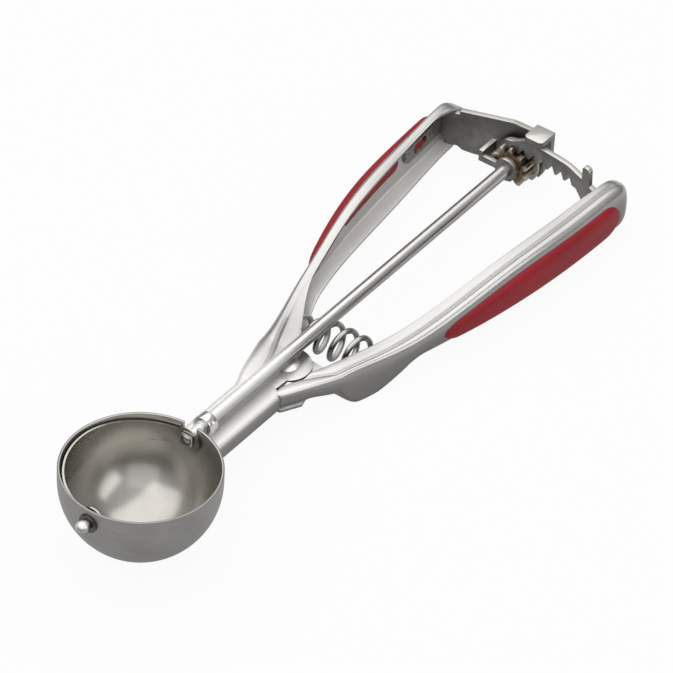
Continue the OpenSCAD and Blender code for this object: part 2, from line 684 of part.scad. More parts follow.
lens_r = 100;
module scraper() color("silver") seat() difference() {
    intersection() {
        difference() {
            sphere(strip_r);
            sphere(strip_r - scraper_t);
        }
        union() {
            rotate([-scraper_rest - 90, 0, 0]) linear_extrude(bowl_r) intersection() {
                translate([0, lens_r - scraper_w / 2]) circle(lens_r);
                translate([0, scraper_w / 2 - lens_r]) circle(lens_r);
                square(2 * bowl_r, center = true);
            }
            along_x(-bowl_r, 2 * scraper_ear_r, 2 * bowl_r);
        }
    }
    translate([0, -square_w / 2, -square_w / 2]) cube([bowl_r, square_w, square_w]);
    along_x(-bowl_r, pin_d, bowl_r);
}
module scraper_washer() color("gray") seat() difference() {
    yz_plate(rivet_in_x, in_washer_t) round_rect(washer_w, washer_w, 0.7);
    translate([0, -square_w / 2, -square_w / 2]) cube([bowl_r, square_w, square_w]);
}
module front_pin() color("silver") seat() {
    ball_x = -bowl_r - bushing_flange - ball_d / 2 + 0.25;
    head_x = -sqrt(pow(strip_r - scraper_t, 2) - pow(pin_d / 2 + 0.7, 2)) + 0.05;
    difference() {
        translate([ball_x, 0, 0]) sphere(d = ball_d);
        along_x(-bowl_r - bushing_flange - 0.15, 2 * ball_d, bowl_r);
    }
    along_x(ball_x, pin_d, head_x - ball_x);
    translate([head_x, 0, 0]) rotate([0, 90, 0]) dome(pin_d + 1.4, 0.9);
}

// ---- return spring ----
spring_x = along(0.186);
spring_z = -rod_d / 2 - 0.35 - spring_d / 2;
end_slope = 0.45;
spring_y1 = at(back_l, spring_x) - sheet_t - end_slope * spring_end_d / 2 - wire_d / 2;
spring_y0 = -at(back_r, spring_x) + sheet_t + end_slope * spring_end_d / 2 + wire_d / 2;
coil_steps = 14;
wire_sides = 8;
closed = 0.8;
function smooth(u) = let (v = min(1, max(0, u))) v * v * (3 - 2 * v);
// Share of the length reached after turn n: the end turns are wound close
function wound(n) =
    let (m = spring_turns - 2 * closed, c = closed * 0.28, all = m + 2 * c)
    n < closed ? n * 0.28 / all
    : n > spring_turns - closed ? (c + m + (n - spring_turns + closed) * 0.28) / all
    : (c + n - closed) / all;
function coil_y(n) = spring_y0 + (spring_y1 - spring_y0) * wound(n);
function coil_r(n) =
    let (y = coil_y(n))
    (spring_end_d - wire_d) / 2 + (spring_d - spring_end_d) / 2
        * smooth((y + at(lip_r, spring_x) + 0.5) / 6)
        * smooth((at(lip_l, spring_x - 3) - 0.5 - y) / 6);
function coil_c(n) =
    let (r = coil_r(n))
    [spring_x + r * cos(360 * n), coil_y(n), spring_z + r * sin(360 * n)];
module spring() color("silver") seat() loft([
    for (k = [0:spring_turns * coil_steps]) let (n = k / coil_steps, c = coil_c(n))
        [
            for (i = [0:wire_sides - 1]) let (
                a = -360 * i / wire_sides,
                w = wire_d / 2
            )
            c + [w * cos(a) * cos(360 * n), w * sin(a), w * cos(a) * sin(360 * n)]
        ]
]);

bowl();
front_bushing();
left_handle();
left_grip();
front_bearing();
gear_bracket();
rear_bushing();
bracket_welds();
pivot_rivet();
pivot_washer();
right_handle();
right_grip();
gear_rack();
rack_welds();
drive_rod();
pinion();
pinion_flange();
thrust_washer();
rod_end_collar();
scraper();
scraper_washer();
front_pin();
spring();
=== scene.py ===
import json
import math
from contextlib import contextmanager

import bmesh
import bpy
from bpy.props import FloatProperty, FloatVectorProperty, PointerProperty
from mathutils import Matrix, Vector

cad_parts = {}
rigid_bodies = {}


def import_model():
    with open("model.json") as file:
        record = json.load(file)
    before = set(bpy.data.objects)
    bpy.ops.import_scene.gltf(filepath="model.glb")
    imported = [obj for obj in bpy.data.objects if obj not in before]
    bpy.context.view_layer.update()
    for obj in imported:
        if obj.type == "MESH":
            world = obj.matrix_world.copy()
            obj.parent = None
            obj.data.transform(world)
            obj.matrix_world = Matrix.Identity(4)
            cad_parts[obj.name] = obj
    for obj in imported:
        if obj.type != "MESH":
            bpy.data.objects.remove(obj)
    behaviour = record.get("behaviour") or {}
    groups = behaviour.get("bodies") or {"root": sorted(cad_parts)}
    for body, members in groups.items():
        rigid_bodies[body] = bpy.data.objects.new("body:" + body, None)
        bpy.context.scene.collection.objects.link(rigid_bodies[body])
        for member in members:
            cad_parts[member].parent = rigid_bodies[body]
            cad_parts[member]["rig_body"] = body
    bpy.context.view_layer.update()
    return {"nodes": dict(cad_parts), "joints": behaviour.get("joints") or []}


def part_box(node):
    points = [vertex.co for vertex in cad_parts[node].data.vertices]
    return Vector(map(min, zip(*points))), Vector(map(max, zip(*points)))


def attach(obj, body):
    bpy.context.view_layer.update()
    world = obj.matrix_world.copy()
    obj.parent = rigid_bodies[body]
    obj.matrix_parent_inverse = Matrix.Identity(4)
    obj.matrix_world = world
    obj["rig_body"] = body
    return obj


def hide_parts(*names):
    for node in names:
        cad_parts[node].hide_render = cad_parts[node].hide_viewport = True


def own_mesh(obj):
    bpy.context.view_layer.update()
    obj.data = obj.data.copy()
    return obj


bl_info = {
    "name": "Squeeze-Handle Ice Cream Scoop",
    "version": (1, 0, 0),
    "blender": (4, 5, 0),
    "location": "View3D > Sidebar > Scoop",
    "description": "Dresses the scoop: stamped handles, silicone grips, bowl, scraper, gear and spring",
    "category": "Add Mesh",
}

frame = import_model()

# ---------------------------------------------------------------------------
# The tool's own frame, in millimetres: X runs along the drive rod from the bowl
# to the handles, Y points to the fixed handle and Z points out of the bowl, with
# the bowl's centre at zero. SEAT lays a finished mesh down as the tool rests.
# ---------------------------------------------------------------------------
MM = 0.001
EPS = 0.01
SEAM_GAP = 0.001
bowl_low, bowl_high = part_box("bowl")
BOWL_R = (bowl_high.y - bowl_low.y) / 2 / MM
lever = next(j for j in frame["joints"] if j["name"] == "lever_squeeze")
LEAN = math.atan2(lever["axis"][0], lever["axis"][2])
SEAT = (
    Matrix.Translation((0, 0, BOWL_R * MM)) @ Matrix.Rotation(LEAN, 4, "Y") @ Matrix.Scale(MM, 4)
)
PIVOT_X = round((SEAT.inverted() @ Vector(lever["pos_m"])).x, 2)
LEFT, RIGHT = 1, -1
TURN = 2 * math.pi


# ----- Settings -----
def length(name, millimetres, description):
    """A length setting, typed here in millimetres and held in metres."""
    return FloatProperty(
        name=name,
        description=description,
        default=millimetres * MM,
        min=0.0,
        precision=5,
        unit="LENGTH",
        subtype="DISTANCE",
    )


def share(name, value, description):
    """A setting between nothing and all."""
    return FloatProperty(
        name=name, description=description, default=value, min=0.0, max=1.0, subtype="FACTOR"
    )


def colour(name, value, description):
    """A linear colour setting."""
    return FloatVectorProperty(
        name=name, description=description, default=value, min=0.0, max=1.0, subtype="COLOR"
    )


class ScoopSizes(bpy.types.PropertyGroup):
    """Lengths of the scoop's pieces"""

    reach: length("Reach", 123.8, "From the pivot to the middle of the rack plate")
    tip_over: length("Tip overhang", 4.7, "How far the handles run past the rack plate")
    left_spread: length("Left spread", 24.1, "From the rod to the fixed handle's tip")
    right_spread: length("Right spread", 36.9, "From the rod to the lever's tip")
    sheet: length("Sheet", 1.0, "Thickness of the handle sheet")
    grip_h: length("Grip height", 14.6, "Depth of the channels at their tips")
    lobe_h: length("Lobe height", 7.6, "How far the finger lobes hang down")
    groove: length("Groove depth", 0.55, "Depth of the groove along the handles' tops")
    neck_w: length("Neck width", 15.0, "Width of the neck")
    neck_h: length("Neck depth", 6.8, "Depth of the neck")
    neck_drop: length("Neck drop", 3.8, "From the drive axis down to the neck's top")
    pad_t: length("Pad thickness", 1.9, "How far the grips stand proud")
    slot_w: length("Window width", 5.0, "Width of the windows behind the grips")
    oval_l: length("Oval length", 9.0, "Length of the rear windows")
    bowl_wall: length("Bowl wall", 0.9, "Thickness of the bowl's wall")
    rim_h: length("Rim height", 4.8, "Height of the rim above the drive axis")
    rim_slot: length("Rim slot", 5.2, "Width of the slot that the rod passes through")
    rod_d: length("Rod", 4.5, "Diameter of the drive rod")
    nose_d: length("Rod nose", 3.8, "Diameter of the rod in front of its bearing")
    ball_d: length("Ball", 4.5, "Diameter of the ball on the front pin")
    pin_d: length("Pin", 2.8, "Diameter of the front pin's shank")
    bearing_d: length("Bearing", 7.0, "Outer diameter of the front bearing ring")
    bearing_l: length("Bearing length", 4.0, "Length of the front bearing ring")
    rivet_d: length("Rivet", 4.0, "Diameter of the pivot rivet's shank")
    rivet_head_d: length("Rivet head", 8.2, "Diameter of the pivot rivet's upper head")
    spring_d: length("Spring", 12.8, "Outer diameter of the spring at its middle")
    spring_end_d: length("Spring end", 8.4, "Outer diameter of the spring's end turns")
    wire_d: length("Wire", 1.9, "Diameter of the spring wire")


class ScoopFinishes(bpy.types.PropertyGroup):
    """Colours and gloss of the scoop's materials"""

    satin: colour("Satin steel", (0.50, 0.49, 0.475), "Stamped handles")
    satin_rough: share("Satin roughness", 0.30, "Roughness of the handles")
    bowl: colour("Bowl steel", (0.30, 0.295, 0.285), "Outside of the bowl")
    bowl_rough: share("Bowl roughness", 0.42, "Roughness of the bowl's outside")
    mirror: colour("Polished steel", (0.43, 0.415, 0.385), "Inside of the bowl and the scraper")
    mirror_rough: share("Polish roughness", 0.22, "Roughness of the bowl's inside")
    bright: colour("Bright steel", (0.66, 0.65, 0.63), "Rod, spring, rivets and ball")
    bright_rough: share("Bright roughness", 0.22, "Roughness of the bright pieces")
    # Painted light: the light colour that the up-facing insides of the handles' lower flanges and the
    # neck's top take in place of the shade they lie in.
    painted_fill_light: colour("Painted fill light", (0.86, 0.85, 0.83), "Insides of the lower flanges and the neck")
    spring: colour("Spring steel", (0.45, 0.44, 0.42), "Wire of the return spring")
    plate: colour("Plate steel", (0.22, 0.215, 0.205), "Faces of the blanked gear plates")
    # Painted highlight on every up-facing face of the gear plates; the scraper's washer and the rod's
    # collar take it as their own colour.
    pale_steel_and_painted_highlight: colour("Pale steel and painted highlight", (0.62, 0.61, 0.58), "Ground top edges of the gear plates")
    gear: colour("Gear steel", (0.46, 0.43, 0.38), "Pinion")
    gear_stain: colour("Gear stain", (0.16, 0.10, 0.055), "Oil in the pinion's tooth roots")
    dark: colour("Dark steel", (0.11, 0.105, 0.10), "Turned bushing behind the ball")
    bronze: colour("Bronze", (0.52, 0.36, 0.16), "Rear bushing")
    silicone: colour("Silicone", (0.25, 0.004, 0.011), "Grips")
    floor: colour("Floor", (0.62, 0.62, 0.62), "Table")


class Millimetres:
    """Reads a settings group's lengths in millimetres."""

    def __init__(self, group):
        self.group = group

    def __getattr__(self, name):
        return getattr(self.group, name) / MM


def sizes():
    return Millimetres(bpy.context.scene.scoop_sizes)


def finishes():
    return bpy.context.scene.scoop_finishes


# ----- Modelling -----
def activate(obj):
    """Leaves obj as the only selected object."""
    bpy.ops.object.select_all(action="DESELECT")
    obj.select_set(True)
    bpy.context.view_layer.objects.active = obj


@contextmanager
def editing(obj, kind="FACE"):
    """Edit mode on obj with all of it selected."""
    activate(obj)
    bpy.ops.object.mode_set(mode="EDIT")
    bpy.ops.mesh.select_mode(type=kind)
    bpy.ops.mesh.select_all(action="SELECT")
    yield obj
    bpy.ops.object.mode_set(mode="OBJECT")


def pick(obj, kind, test):
    """In edit mode, selects only the vertices, edges or faces that pass a test."""
    bpy.ops.mesh.select_mode(type=kind)
    bpy.ops.mesh.select_all(action="DESELECT")
    mesh = bmesh.from_edit_mesh(obj.data)
    for item in {"VERT": mesh.verts, "EDGE": mesh.edges, "FACE": mesh.faces}[kind]:
        if test(item):
            item.select_set(True)
    bmesh.update_edit_mesh(obj.data)


def primitive(add, name, **settings):
    """Adds a primitive, a lamp or a camera with nothing else selected, and names it."""
    bpy.ops.object.select_all(action="DESELECT")
    add(**settings)
    obj = bpy.context.active_object
    obj.name = obj.data.name = name
    return obj


def ball(name, radius, segments):
    return primitive(
        bpy.ops.mesh.primitive_uv_sphere_add,
        name,
        segments=segments,
        ring_count=segments // 2,
        radius=radius,
    )


def loop(name, points):
    """A closed loop of edges, started as a circle with one vertex for each point."""
    obj = primitive(bpy.ops.mesh.primitive_circle_add, name, vertices=len(points), radius=1.0)
    for vertex, point in zip(obj.data.vertices, points):
        vertex.co = point
    return obj


def merged(obj):
    """Closes seams and poles and turns the faces outwards."""
    with editing(obj):
        bpy.ops.mesh.remove_doubles(threshold=SEAM_GAP)
        bpy.ops.mesh.normals_make_consistent(inside=False)
    return obj


def turned(name, outline, steps=96):
    """A piece turned about the X axis from (station, radius) pairs in one closed row.
    A row that starts and ends on the axis gives a solid piece, any other a ring."""
    obj = loop(name, [(station, 0, radius) for station, radius in outline])
    with editing(obj, "EDGE"):
        pick(obj, "EDGE", lambda e: all(abs(v.co.z) < EPS for v in e.verts))
        bpy.ops.mesh.delete(type="EDGE")
        bpy.ops.mesh.select_all(action="SELECT")
        bpy.ops.mesh.spin(steps=steps, angle=TURN, center=(0, 0, 0), axis=(1, 0, 0))
    return merged(obj)


def plate(name, outline, thickness, place=Matrix()):
    """A flat plate: its outline in X and Y, its thickness up Z, then moved to its place."""
    obj = loop(name, [(x, y, 0) for x, y in outline])
    with editing(obj, "EDGE"):
        bpy.ops.mesh.edge_face_add()
        bpy.ops.mesh.extrude_region_move(TRANSFORM_OT_translate={"value": (0, 0, thickness)})
        bpy.ops.mesh.select_all(action="SELECT")
        bpy.ops.mesh.normals_make_consistent(inside=False)
    obj.data.transform(place)
    if place.determinant() < 0:
        merged(obj)
    return obj


def lofted(name, rows):
    """A skin over rows of points, started as a grid with one vertex for each point."""
    obj = primitive(
        bpy.ops.mesh.primitive_grid_add,
        name,
        x_subdivisions=len(rows[0]) - 1,
        y_subdivisions=len(rows) - 1,
        size=1.0,
    )
    for vertex, point in zip(obj.data.vertices, (p for row in rows for p in row)):
        vertex.co = point
    return obj


def modified(obj, kind, **settings):
    """Adds a modifier, sets it and applies it."""
    activate(obj)
    modifier = obj.modifiers.new(kind.title(), kind)
    for key, value in settings.items():
        setattr(modifier, key, value)
    bpy.ops.object.modifier_apply(modifier=modifier.name)
    return obj


def rounded(obj, width, segments=2, angle=32):
    """Rounds every edge sharper than an angle."""
    return modified(
        obj,
        "BEVEL",
        width=width,
        segments=segments,
        limit_method="ANGLE",
        angle_limit=math.radians(angle),
        miter_outer="MITER_ARC",
    )


def combined(obj, operation, others):
    """Adds other pieces to obj, or cuts them out of it, and removes them."""
    for other in others:
        modified(obj, "BOOLEAN", operation=operation, object=other, solver="EXACT")
        bpy.data.objects.remove(other)
    return obj


def copied(node, name):
    """A merged copy of a CAD node's mesh in the tool's frame, its flat faces made whole."""
    obj = bpy.data.objects.new(name, frame["nodes"][node].data.copy())
    bpy.context.scene.collection.objects.link(obj)
    obj.data.transform(SEAT.inverted())
    activate(obj)
    bpy.ops.mesh.customdata_custom_splitnormals_clear()
    with editing(obj):
        bpy.ops.mesh.remove_doubles(threshold=2 * SEAM_GAP)
        bpy.ops.mesh.dissolve_limited(angle_limit=math.radians(0.6))
    return obj


def dressed(obj, node, material, angle=35):
    """Seats a finished piece, gives it its material and lets it stand for its CAD node."""
    obj.data.transform(SEAT)
    obj.data.materials.clear()
    obj.data.materials.append(material)
    activate(obj)
    bpy.ops.object.shade_smooth_by_angle(angle=math.radians(angle))
    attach(obj, frame["nodes"][node]["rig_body"])
    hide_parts(node)
    return obj


def arc(centre, radius, start, end, steps):
    """Points on an arc between two angles in degrees."""
    angles = [math.radians(start + (end - start) * k / steps) for k in range(steps + 1)]
    return [(centre[0] + radius * math.cos(a), centre[1] + radius * math.sin(a)) for a in angles]


def circle(radius, points):
    """The outline of a full circle."""
    return arc((0, 0), radius, 0, 360 - 360 / points, points - 1)


def round_box(width, height, radius, steps=6):
    """The outline of a rectangle with round corners."""
    x, y = width / 2 - radius, height / 2 - radius
    corners = [(x, y, 0), (-x, y, 90), (-x, -y, 180), (x, -y, 270)]
    return [p for cx, cy, a in corners for p in arc((cx, cy), radius, a, a + 90, steps)]


def smooth_step(u):
    """0 below 0, 1 above 1 and a smooth rise between."""
    u = min(1.0, max(0.0, u))
    return u * u * (3 - 2 * u)


def ramp(span, distance):
    """A smooth rise from 0 to 1 that starts at a distance and takes a length."""
    start, run = span
    return smooth_step((distance - start) / run)


def spline(points, steps):
    """A smooth curve through points in a plane."""
    ends = [points[0], *points, points[-1]]
    curve = []
    for a, b, c, d in zip(ends, ends[1:], ends[2:], ends[3:]):
        for k in range(steps):
            t = k / steps
            curve.append(tuple(
                0.5 * (2 * q + (r - p) * t + (2 * p - 5 * q + 4 * r - s) * t * t
                       + (3 * q - p - 3 * r + s) * t ** 3)
                for p, q, r, s in zip(a, b, c, d)
            ))
    return [*curve, points[-1]]


# ----- Handle channels -----
# Control values of the handles' curves from the neck to the tip, as shares of each tip's spread
# from the rod, and of the grip's height for the rise of their tops.
LIPS = {LEFT: (-0.021, 0.763, 0.929, 0.668, 1.075, 1.0), RIGHT: (0.279, 0.556, 0.902, 0.862, 1.0)}
BACKS = {LEFT: (0.627, 0.851, 1.373, 1.195, 1.324), RIGHT: (0.474, 0.789, 1.079, 1.117, 1.19)}
RISE = (-0.062, -0.89, 2.075, -0.342, 1.13, 0.637)


def blended(values, t):
    """A Bernstein polynomial of its control values."""
    values = list(values)
    while len(values) > 1:
        values = [a * (1 - t) + b * t for a, b in zip(values, values[1:])]
    return values[0]


def mixed(a, b, t):
    return a + (b - a) * t


def signed_power(value, power):
    return math.copysign(abs(value) ** power, value)


def along_line(points, x):
    """Height at x on a polyline."""
    for (x0, y0), (x1, y1) in zip(points, points[1:]):
        if x <= x1:
            break
    return mixed(y0, y1, (x - x0) / (x1 - x0))


class Channel:
    """The curves of one stamped handle, with y measured outwards from the rod.
    Ramps are pairs: where a change starts, and over what length it comes."""

    back_power = 0.77
    neck_corner = 1.8
    groove_front = 0.62
    groove_w = 1.2
    groove_power = 1.3
    groove_shift = (55, 25)
    groove_fade = 0.85
    lobe_round = 2.0
    lobe_peak = 0.26
    lobe_rise = 0.8
    slim_ramp = (20, 25)
    narrower = 2.6
    narrow_in = (8, 25)
    narrow_out = (3, 12)
    tip_depth = 0.3
    tip_taper = 0.22
    nose_lift = 1.1
    nose_ramp = (-4, 9)
    smallest = 0.4

    def __init__(self, side):
        self.side = side
        self.slim = 0.9 if side == LEFT else 0.0
        self.groove_rear = 0.52 if side == LEFT else 0.35
        self.size = size = sizes()
        self.half_w = size.neck_w / 2
        self.seam = PIVOT_X - 1.827 * self.half_w
        self.tip = PIVOT_X + size.reach + size.tip_over
        self.start = PIVOT_X + 0.4 * size.neck_w
        self.end = self.tip + 1.5 * size.sheet
        self.tip_round = 6 * size.sheet
        self.neck_low = -size.neck_drop - size.neck_h
        spread = size.left_spread if side == LEFT else size.right_spread
        self.lips = [spread * v for v in LIPS[side]]
        self.backs = [spread * v for v in BACKS[side]]
        self.rise = [-size.neck_drop, *(size.grip_h * v for v in RISE)]
        self.lobe_start, self.lobe_end = self.along(0.045), self.along(0.3)
        h = self.half_w
        if side == LEFT:
            nose = [
                (0, h), (PIVOT_X - 3.2 * h, h), (PIVOT_X - 2.267 * h, 1.01 * h),
                (PIVOT_X - 1.467 * h, 1.307 * h), (PIVOT_X - 0.533 * h, 1.627 * h),
            ]
        else:
            nose = [
                (self.seam - h, 0.43 * h), (self.seam + 0.067 * h, 0.987 * h),
                (PIVOT_X - 0.533 * h, 1.64 * h),
            ]
        joint = [(x, blended(self.backs, self.share(x))) for x in (self.start, self.start + 5)]
        self.wall = spline([*nose, *joint], 10)

    def along(self, part):
        """A station, as a share of the way from the pivot to the rack."""
        return PIVOT_X + part * self.size.reach

    def share(self, x):
        return (x - self.start) / (self.end - self.start)

    def lip(self, x):
        return blended(self.lips, max(0.0, self.share(x)))

    def flange(self, x):
        """How far the sheet reaches before its outline is trimmed."""
        wide = (-1.7 if self.side == LEFT else -0.2) * self.half_w
        return mixed(wide, self.lip(x), smooth_step((x - self.start - 5) / 5))

    def bare(self, x):
        """How much narrower the fixed handle's top flange is than its bottom one."""
        if self.side == RIGHT:
            return 0.0
        grown = ramp(self.narrow_in, x - self.start)
        return self.narrower * grown * ramp(self.narrow_out, self.tip - x)

    def back(self, x):
        if x < self.start:
            return along_line(self.wall, x)
        return blended(self.backs, self.share(x)) - self.slim * ramp(self.slim_ramp, x - self.start)

    def top(self, x):
        return blended(self.rise, max(0.0, self.share(x)))

    def lobe(self, x):
        """Depth of the finger lobe, from 0 to 1."""
        u = (x - self.lobe_start) / (self.lobe_end - self.lobe_start)
        if not 0 < u < 1:
            return 0.0
        if u < self.lobe_peak:
            return math.sin(math.pi / 2 * u / self.lobe_peak) ** self.lobe_rise
        return math.cos(math.pi / 2 * (u - self.lobe_peak) / (1 - self.lobe_peak)) ** 2

    def low(self, x):
        tip_bottom = self.rise[-1] - self.size.grip_h
        line = mixed(self.neck_low, tip_bottom, max(0.0, self.share(x)))
        line -= self.size.lobe_h * self.lobe(x)
        if self.side == RIGHT:
            line += self.nose_lift * self.size.sheet * (1 - ramp(self.nose_ramp, x - PIVOT_X))
        return line

    def near_tip(self, x):
        """0 before the rounded tip, 1 at its end."""
        return min(1.0, max(0.0, (x - self.tip + self.tip_round) / self.tip_round))

    def depth(self, x):
        """From the lip to the back, drawn in at the tip."""
        pull = mixed(self.tip_depth, 1, math.sqrt(1 - self.near_tip(x) ** 2))
        return (self.back(x) - self.lip(x)) * pull

    def middle(self, x):
        return (self.top(x) + self.low(x)) / 2

    def half(self, x):
        return (self.top(x) - self.low(x)) / 2 * (1 - self.tip_taper * self.near_tip(x) ** 2)

    def shoulder(self, x):
        """Where the flat top turns into the round back: the groove runs along it."""
        if x < self.start:
            return self.back(x) - self.back(self.start) + self.shoulder(self.start)
        part = mixed(self.groove_front, self.groove_rear, self.share(x))
        return self.lip(x) + self.depth(x) * part

    def stations(self, first, last, steps):
        """Stations along the handle, close together where the tip is round."""
        turn = self.tip - self.tip_round
        body = [mixed(first, turn, k / steps) for k in range(steps)]
        return [*body, *(mixed(turn, last, math.sin(math.pi / 2 * k / 10)) for k in range(11))]

    def section(self, x, inset=0.0, sides=20, edge=None):
        """The open section from the lower lip round the back to the upper lip."""
        shoulder, lip = self.shoulder(x), self.lip(x)
        if x < self.start:
            lip = min(lip, shoulder - 2 * self.groove_w)
        middle, half = self.middle(x), self.half(x) - inset
        crest = self.lip(x) + self.depth(x) - inset
        width = min(self.groove_w, 0.5 * (shoulder - lip))
        formed = smooth_step((x - self.seam) / (self.start - self.seam))
        corner = self.neck_corner - inset
        corner_y = mixed(corner, crest - shoulder - 0.8 * width, formed)
        corner_z = mixed(corner, half - 0.1, formed)
        power = mixed(1.0, self.back_power, formed)
        turn = crest - corner_y
        square = smooth_step(self.lobe(x) / 0.4)
        foot = max(self.smallest, self.lobe_round - inset)
        foot_y, foot_z = mixed(corner_y, foot, square), mixed(corner_z, foot, square)
        begin, run = self.groove_shift
        moved = min(1.0, max(0.0, (x - begin) / run))
        centre = mixed(0.5 * self.half_w, shoulder - 0.2 * width, moved)
        centre = min(centre, turn - width - EPS)
        deep = self.size.groove * (1 - smooth_step(self.near_tip(x) * 2)) if not inset else 0.0
        if self.side == LEFT:
            deep *= 1 - self.groove_fade * ramp((0, 20), x - self.start)
        edge = self.flange(x) if edge is None else edge
        top_edge = edge + self.bare(x)
        # The lower flange and corner, a point on the back, the upper corner, the groove and the flange.
        row = [(mixed(edge, crest - foot_y, k / 8), middle - half) for k in range(8)]
        for k in range(sides):
            a = math.pi / 2 * (k / (sides - 1) - 1)
            row.append((
                crest - foot_y * (1 - math.cos(a) ** power),
                middle - half + foot_z * (1 + signed_power(math.sin(a), power)),
            ))
        row.append((crest, middle - mixed(0.05, self.smallest, square)))
        for k in range(sides + 1):
            a = math.pi / 2 * k / sides
            row.append((
                turn + corner_y * abs(math.cos(a)) ** power,
                middle + half - corner_z * (1 - math.sin(a) ** power),
            ))
        for k in range(1, 11):
            u = 1 - k / 5
            row.append((centre + u * width, middle + half - deep * (1 - abs(u)) ** self.groove_power))
        rim = row[-1][0]
        row += [(mixed(rim, top_edge, k / 4), middle + half) for k in range(1, 5)]
        return [(x, self.side * y, z) for y, z in row]

    def solid(self, name, inset=0.0, first=None, last=None):
        """The channel's outer form as a closed solid, to cut with."""
        first = self.start if first is None else first
        last = self.tip if last is None else last
        rows = []
        for x in self.stations(first, last, 60):
            row = self.section(x, inset, 12, self.lip(x) - 8 if inset else self.lip(x))
            rows.append([*row, row[0]])
        return closed(lofted(name, rows))


def closed(obj):
    """Merges a tube's seam and fills both of its ends."""
    with editing(obj, "EDGE"):
        bpy.ops.mesh.remove_doubles(threshold=SEAM_GAP)
        bpy.ops.mesh.fill_holes(sides=0)
        bpy.ops.mesh.select_all(action="SELECT")
        bpy.ops.mesh.normals_make_consistent(inside=False)
    return obj


def outwards(obj):
    """Turns an open sheet's faces away from its middle."""
    faces = obj.data.polygons
    middle = sum((f.center for f in faces), Vector()) / len(faces)
    if sum((f.center - middle).dot(f.normal) * f.area for f in faces) < 0:
        with editing(obj):
            bpy.ops.mesh.flip_normals()
    return obj


def capsule(name, channel, first, last, width, near, far):
    """A round-ended plug through a handle's back wall, to cut or to fill a window."""
    ends = [(x, channel.middle(x)) for x in (first, last)]
    tilt = math.atan2(ends[1][1] - ends[0][1], last - first)
    run = math.hypot(ends[1][1] - ends[0][1], last - first) - width
    outline = [
        *arc((run / 2, 0), width / 2, -90, 90, 16),
        *arc((-run / 2, 0), width / 2, 90, 270, 16),
    ]
    middle = ((first + last) / 2, channel.side * near, (ends[0][1] + ends[1][1]) / 2)
    stand = Matrix.Rotation(channel.side * -math.pi / 2, 4, "X")
    place = Matrix.Translation(middle) @ Matrix.Rotation(-tilt, 4, "Y") @ stand
    return plate(name, outline, far - near, place)


def windows(channel, shrink=0.0):
    """Both windows of a handle as plugs."""
    size = channel.size
    further = 0.068 if channel.side == LEFT else 0.0
    first, last = (channel.along(part + further) for part in (0.452, 0.727))
    oval = channel.along(0.889)
    near, far = channel.lip(first) + 1, channel.back(last) + 8
    spans = [(first, last), (oval - size.oval_l / 2, oval + size.oval_l / 2)]
    return [
        capsule("window", channel, a + shrink, b - shrink, size.slot_w - 2 * shrink, near, far)
        for a, b in spans
    ]


def sheet_metal(name, channel):
    """A handle's sheet: its skin is lofted, closed at the tip, thickened and pierced."""
    first = channel.seam if channel.side == LEFT else channel.seam + 0.067 * channel.half_w
    sheet = channel.size.sheet
    rows = []
    for x in channel.stations(first, channel.tip, 110):
        inner = mixed(first, channel.tip - sheet, (x - first) / (channel.tip - first))
        row = [*channel.section(x), *reversed(channel.section(inner, sheet))]
        rows.append([*row, row[0]])
    rows.append([(x, channel.side * channel.lip(x), z) for x, _, z in rows[-1]])
    obj = closed(lofted(name, rows))
    return combined(obj, "DIFFERENCE", windows(channel))


def trimmed(obj, channel, edge, low, high):
    """Cuts a flange back to its outline, given from the neck to the lip."""
    reach = channel.start + 10
    lip = [(x, channel.lip(x)) for x in (reach - 6, reach - 4, reach - 2)]
    lip.append((reach, channel.lip(reach) - 0.05))
    far = -3 * channel.half_w
    outline = [*edge, *lip, (reach, far), (edge[0][0] - 3, far), (edge[0][0] - 3, edge[0][1])]
    points = [(x, channel.side * y) for x, y in outline]
    cutter = plate("outline", points, high - low, Matrix.Translation((0, 0, low)))
    return combined(obj, "DIFFERENCE", [cutter])


def trim_flanges(obj, channel, top, low):
    """Trims both flanges, then eases the sheet's edges."""
    top_z, low_z = -channel.size.neck_drop, channel.neck_low
    trimmed(obj, channel, top, top_z - 2, top_z + 8)
    trimmed(obj, channel, low, low_z - 9, low_z + 3)
    rounded(obj, 0.14, 2, 40)


def joined(obj, others):
    """Joins other shells to obj."""
    bpy.ops.object.select_all(action="DESELECT")
    for other in [*others, obj]:
        other.select_set(True)
    bpy.context.view_layer.objects.active = obj
    bpy.ops.object.join()
    return obj


# YZ turns an outline across the rod, its thickness along X, and UPRIGHT a turned piece's axis up.
YZ = Matrix(((0, 0, 1, 0), (1, 0, 0, 0), (0, 1, 0, 0), (0, 0, 0, 1)))
UPRIGHT = Matrix(((0, 1, 0, 0), (0, 0, 1, 0), (1, 0, 0, 0), (0, 0, 0, 1)))


def crosswise(x):
    """Places an outline across the rod, its thickness from a station on."""
    return Matrix.Translation((x, 0, 0)) @ YZ


def at_pivot(points):
    return [(PIVOT_X + x, y) for x, y in points]


# ----- Materials -----
WHITE = (1, 1, 1, 1)

# The middle line of the handles' channels, in metres: what faces up below it lies inside them.
CHANNEL_SLOPE = 0.0754
CHANNEL_DROP = 0.0132

# Materials by name, for the pieces that share one.
MADE = {}


def arithmetic(operation, swapped=False):
    """A method that joins a value and a number, or two values, through a Math node."""
    if swapped:
        return lambda value, other: value.math(operation, other, value)
    return lambda value, other: value.math(operation, value, other)


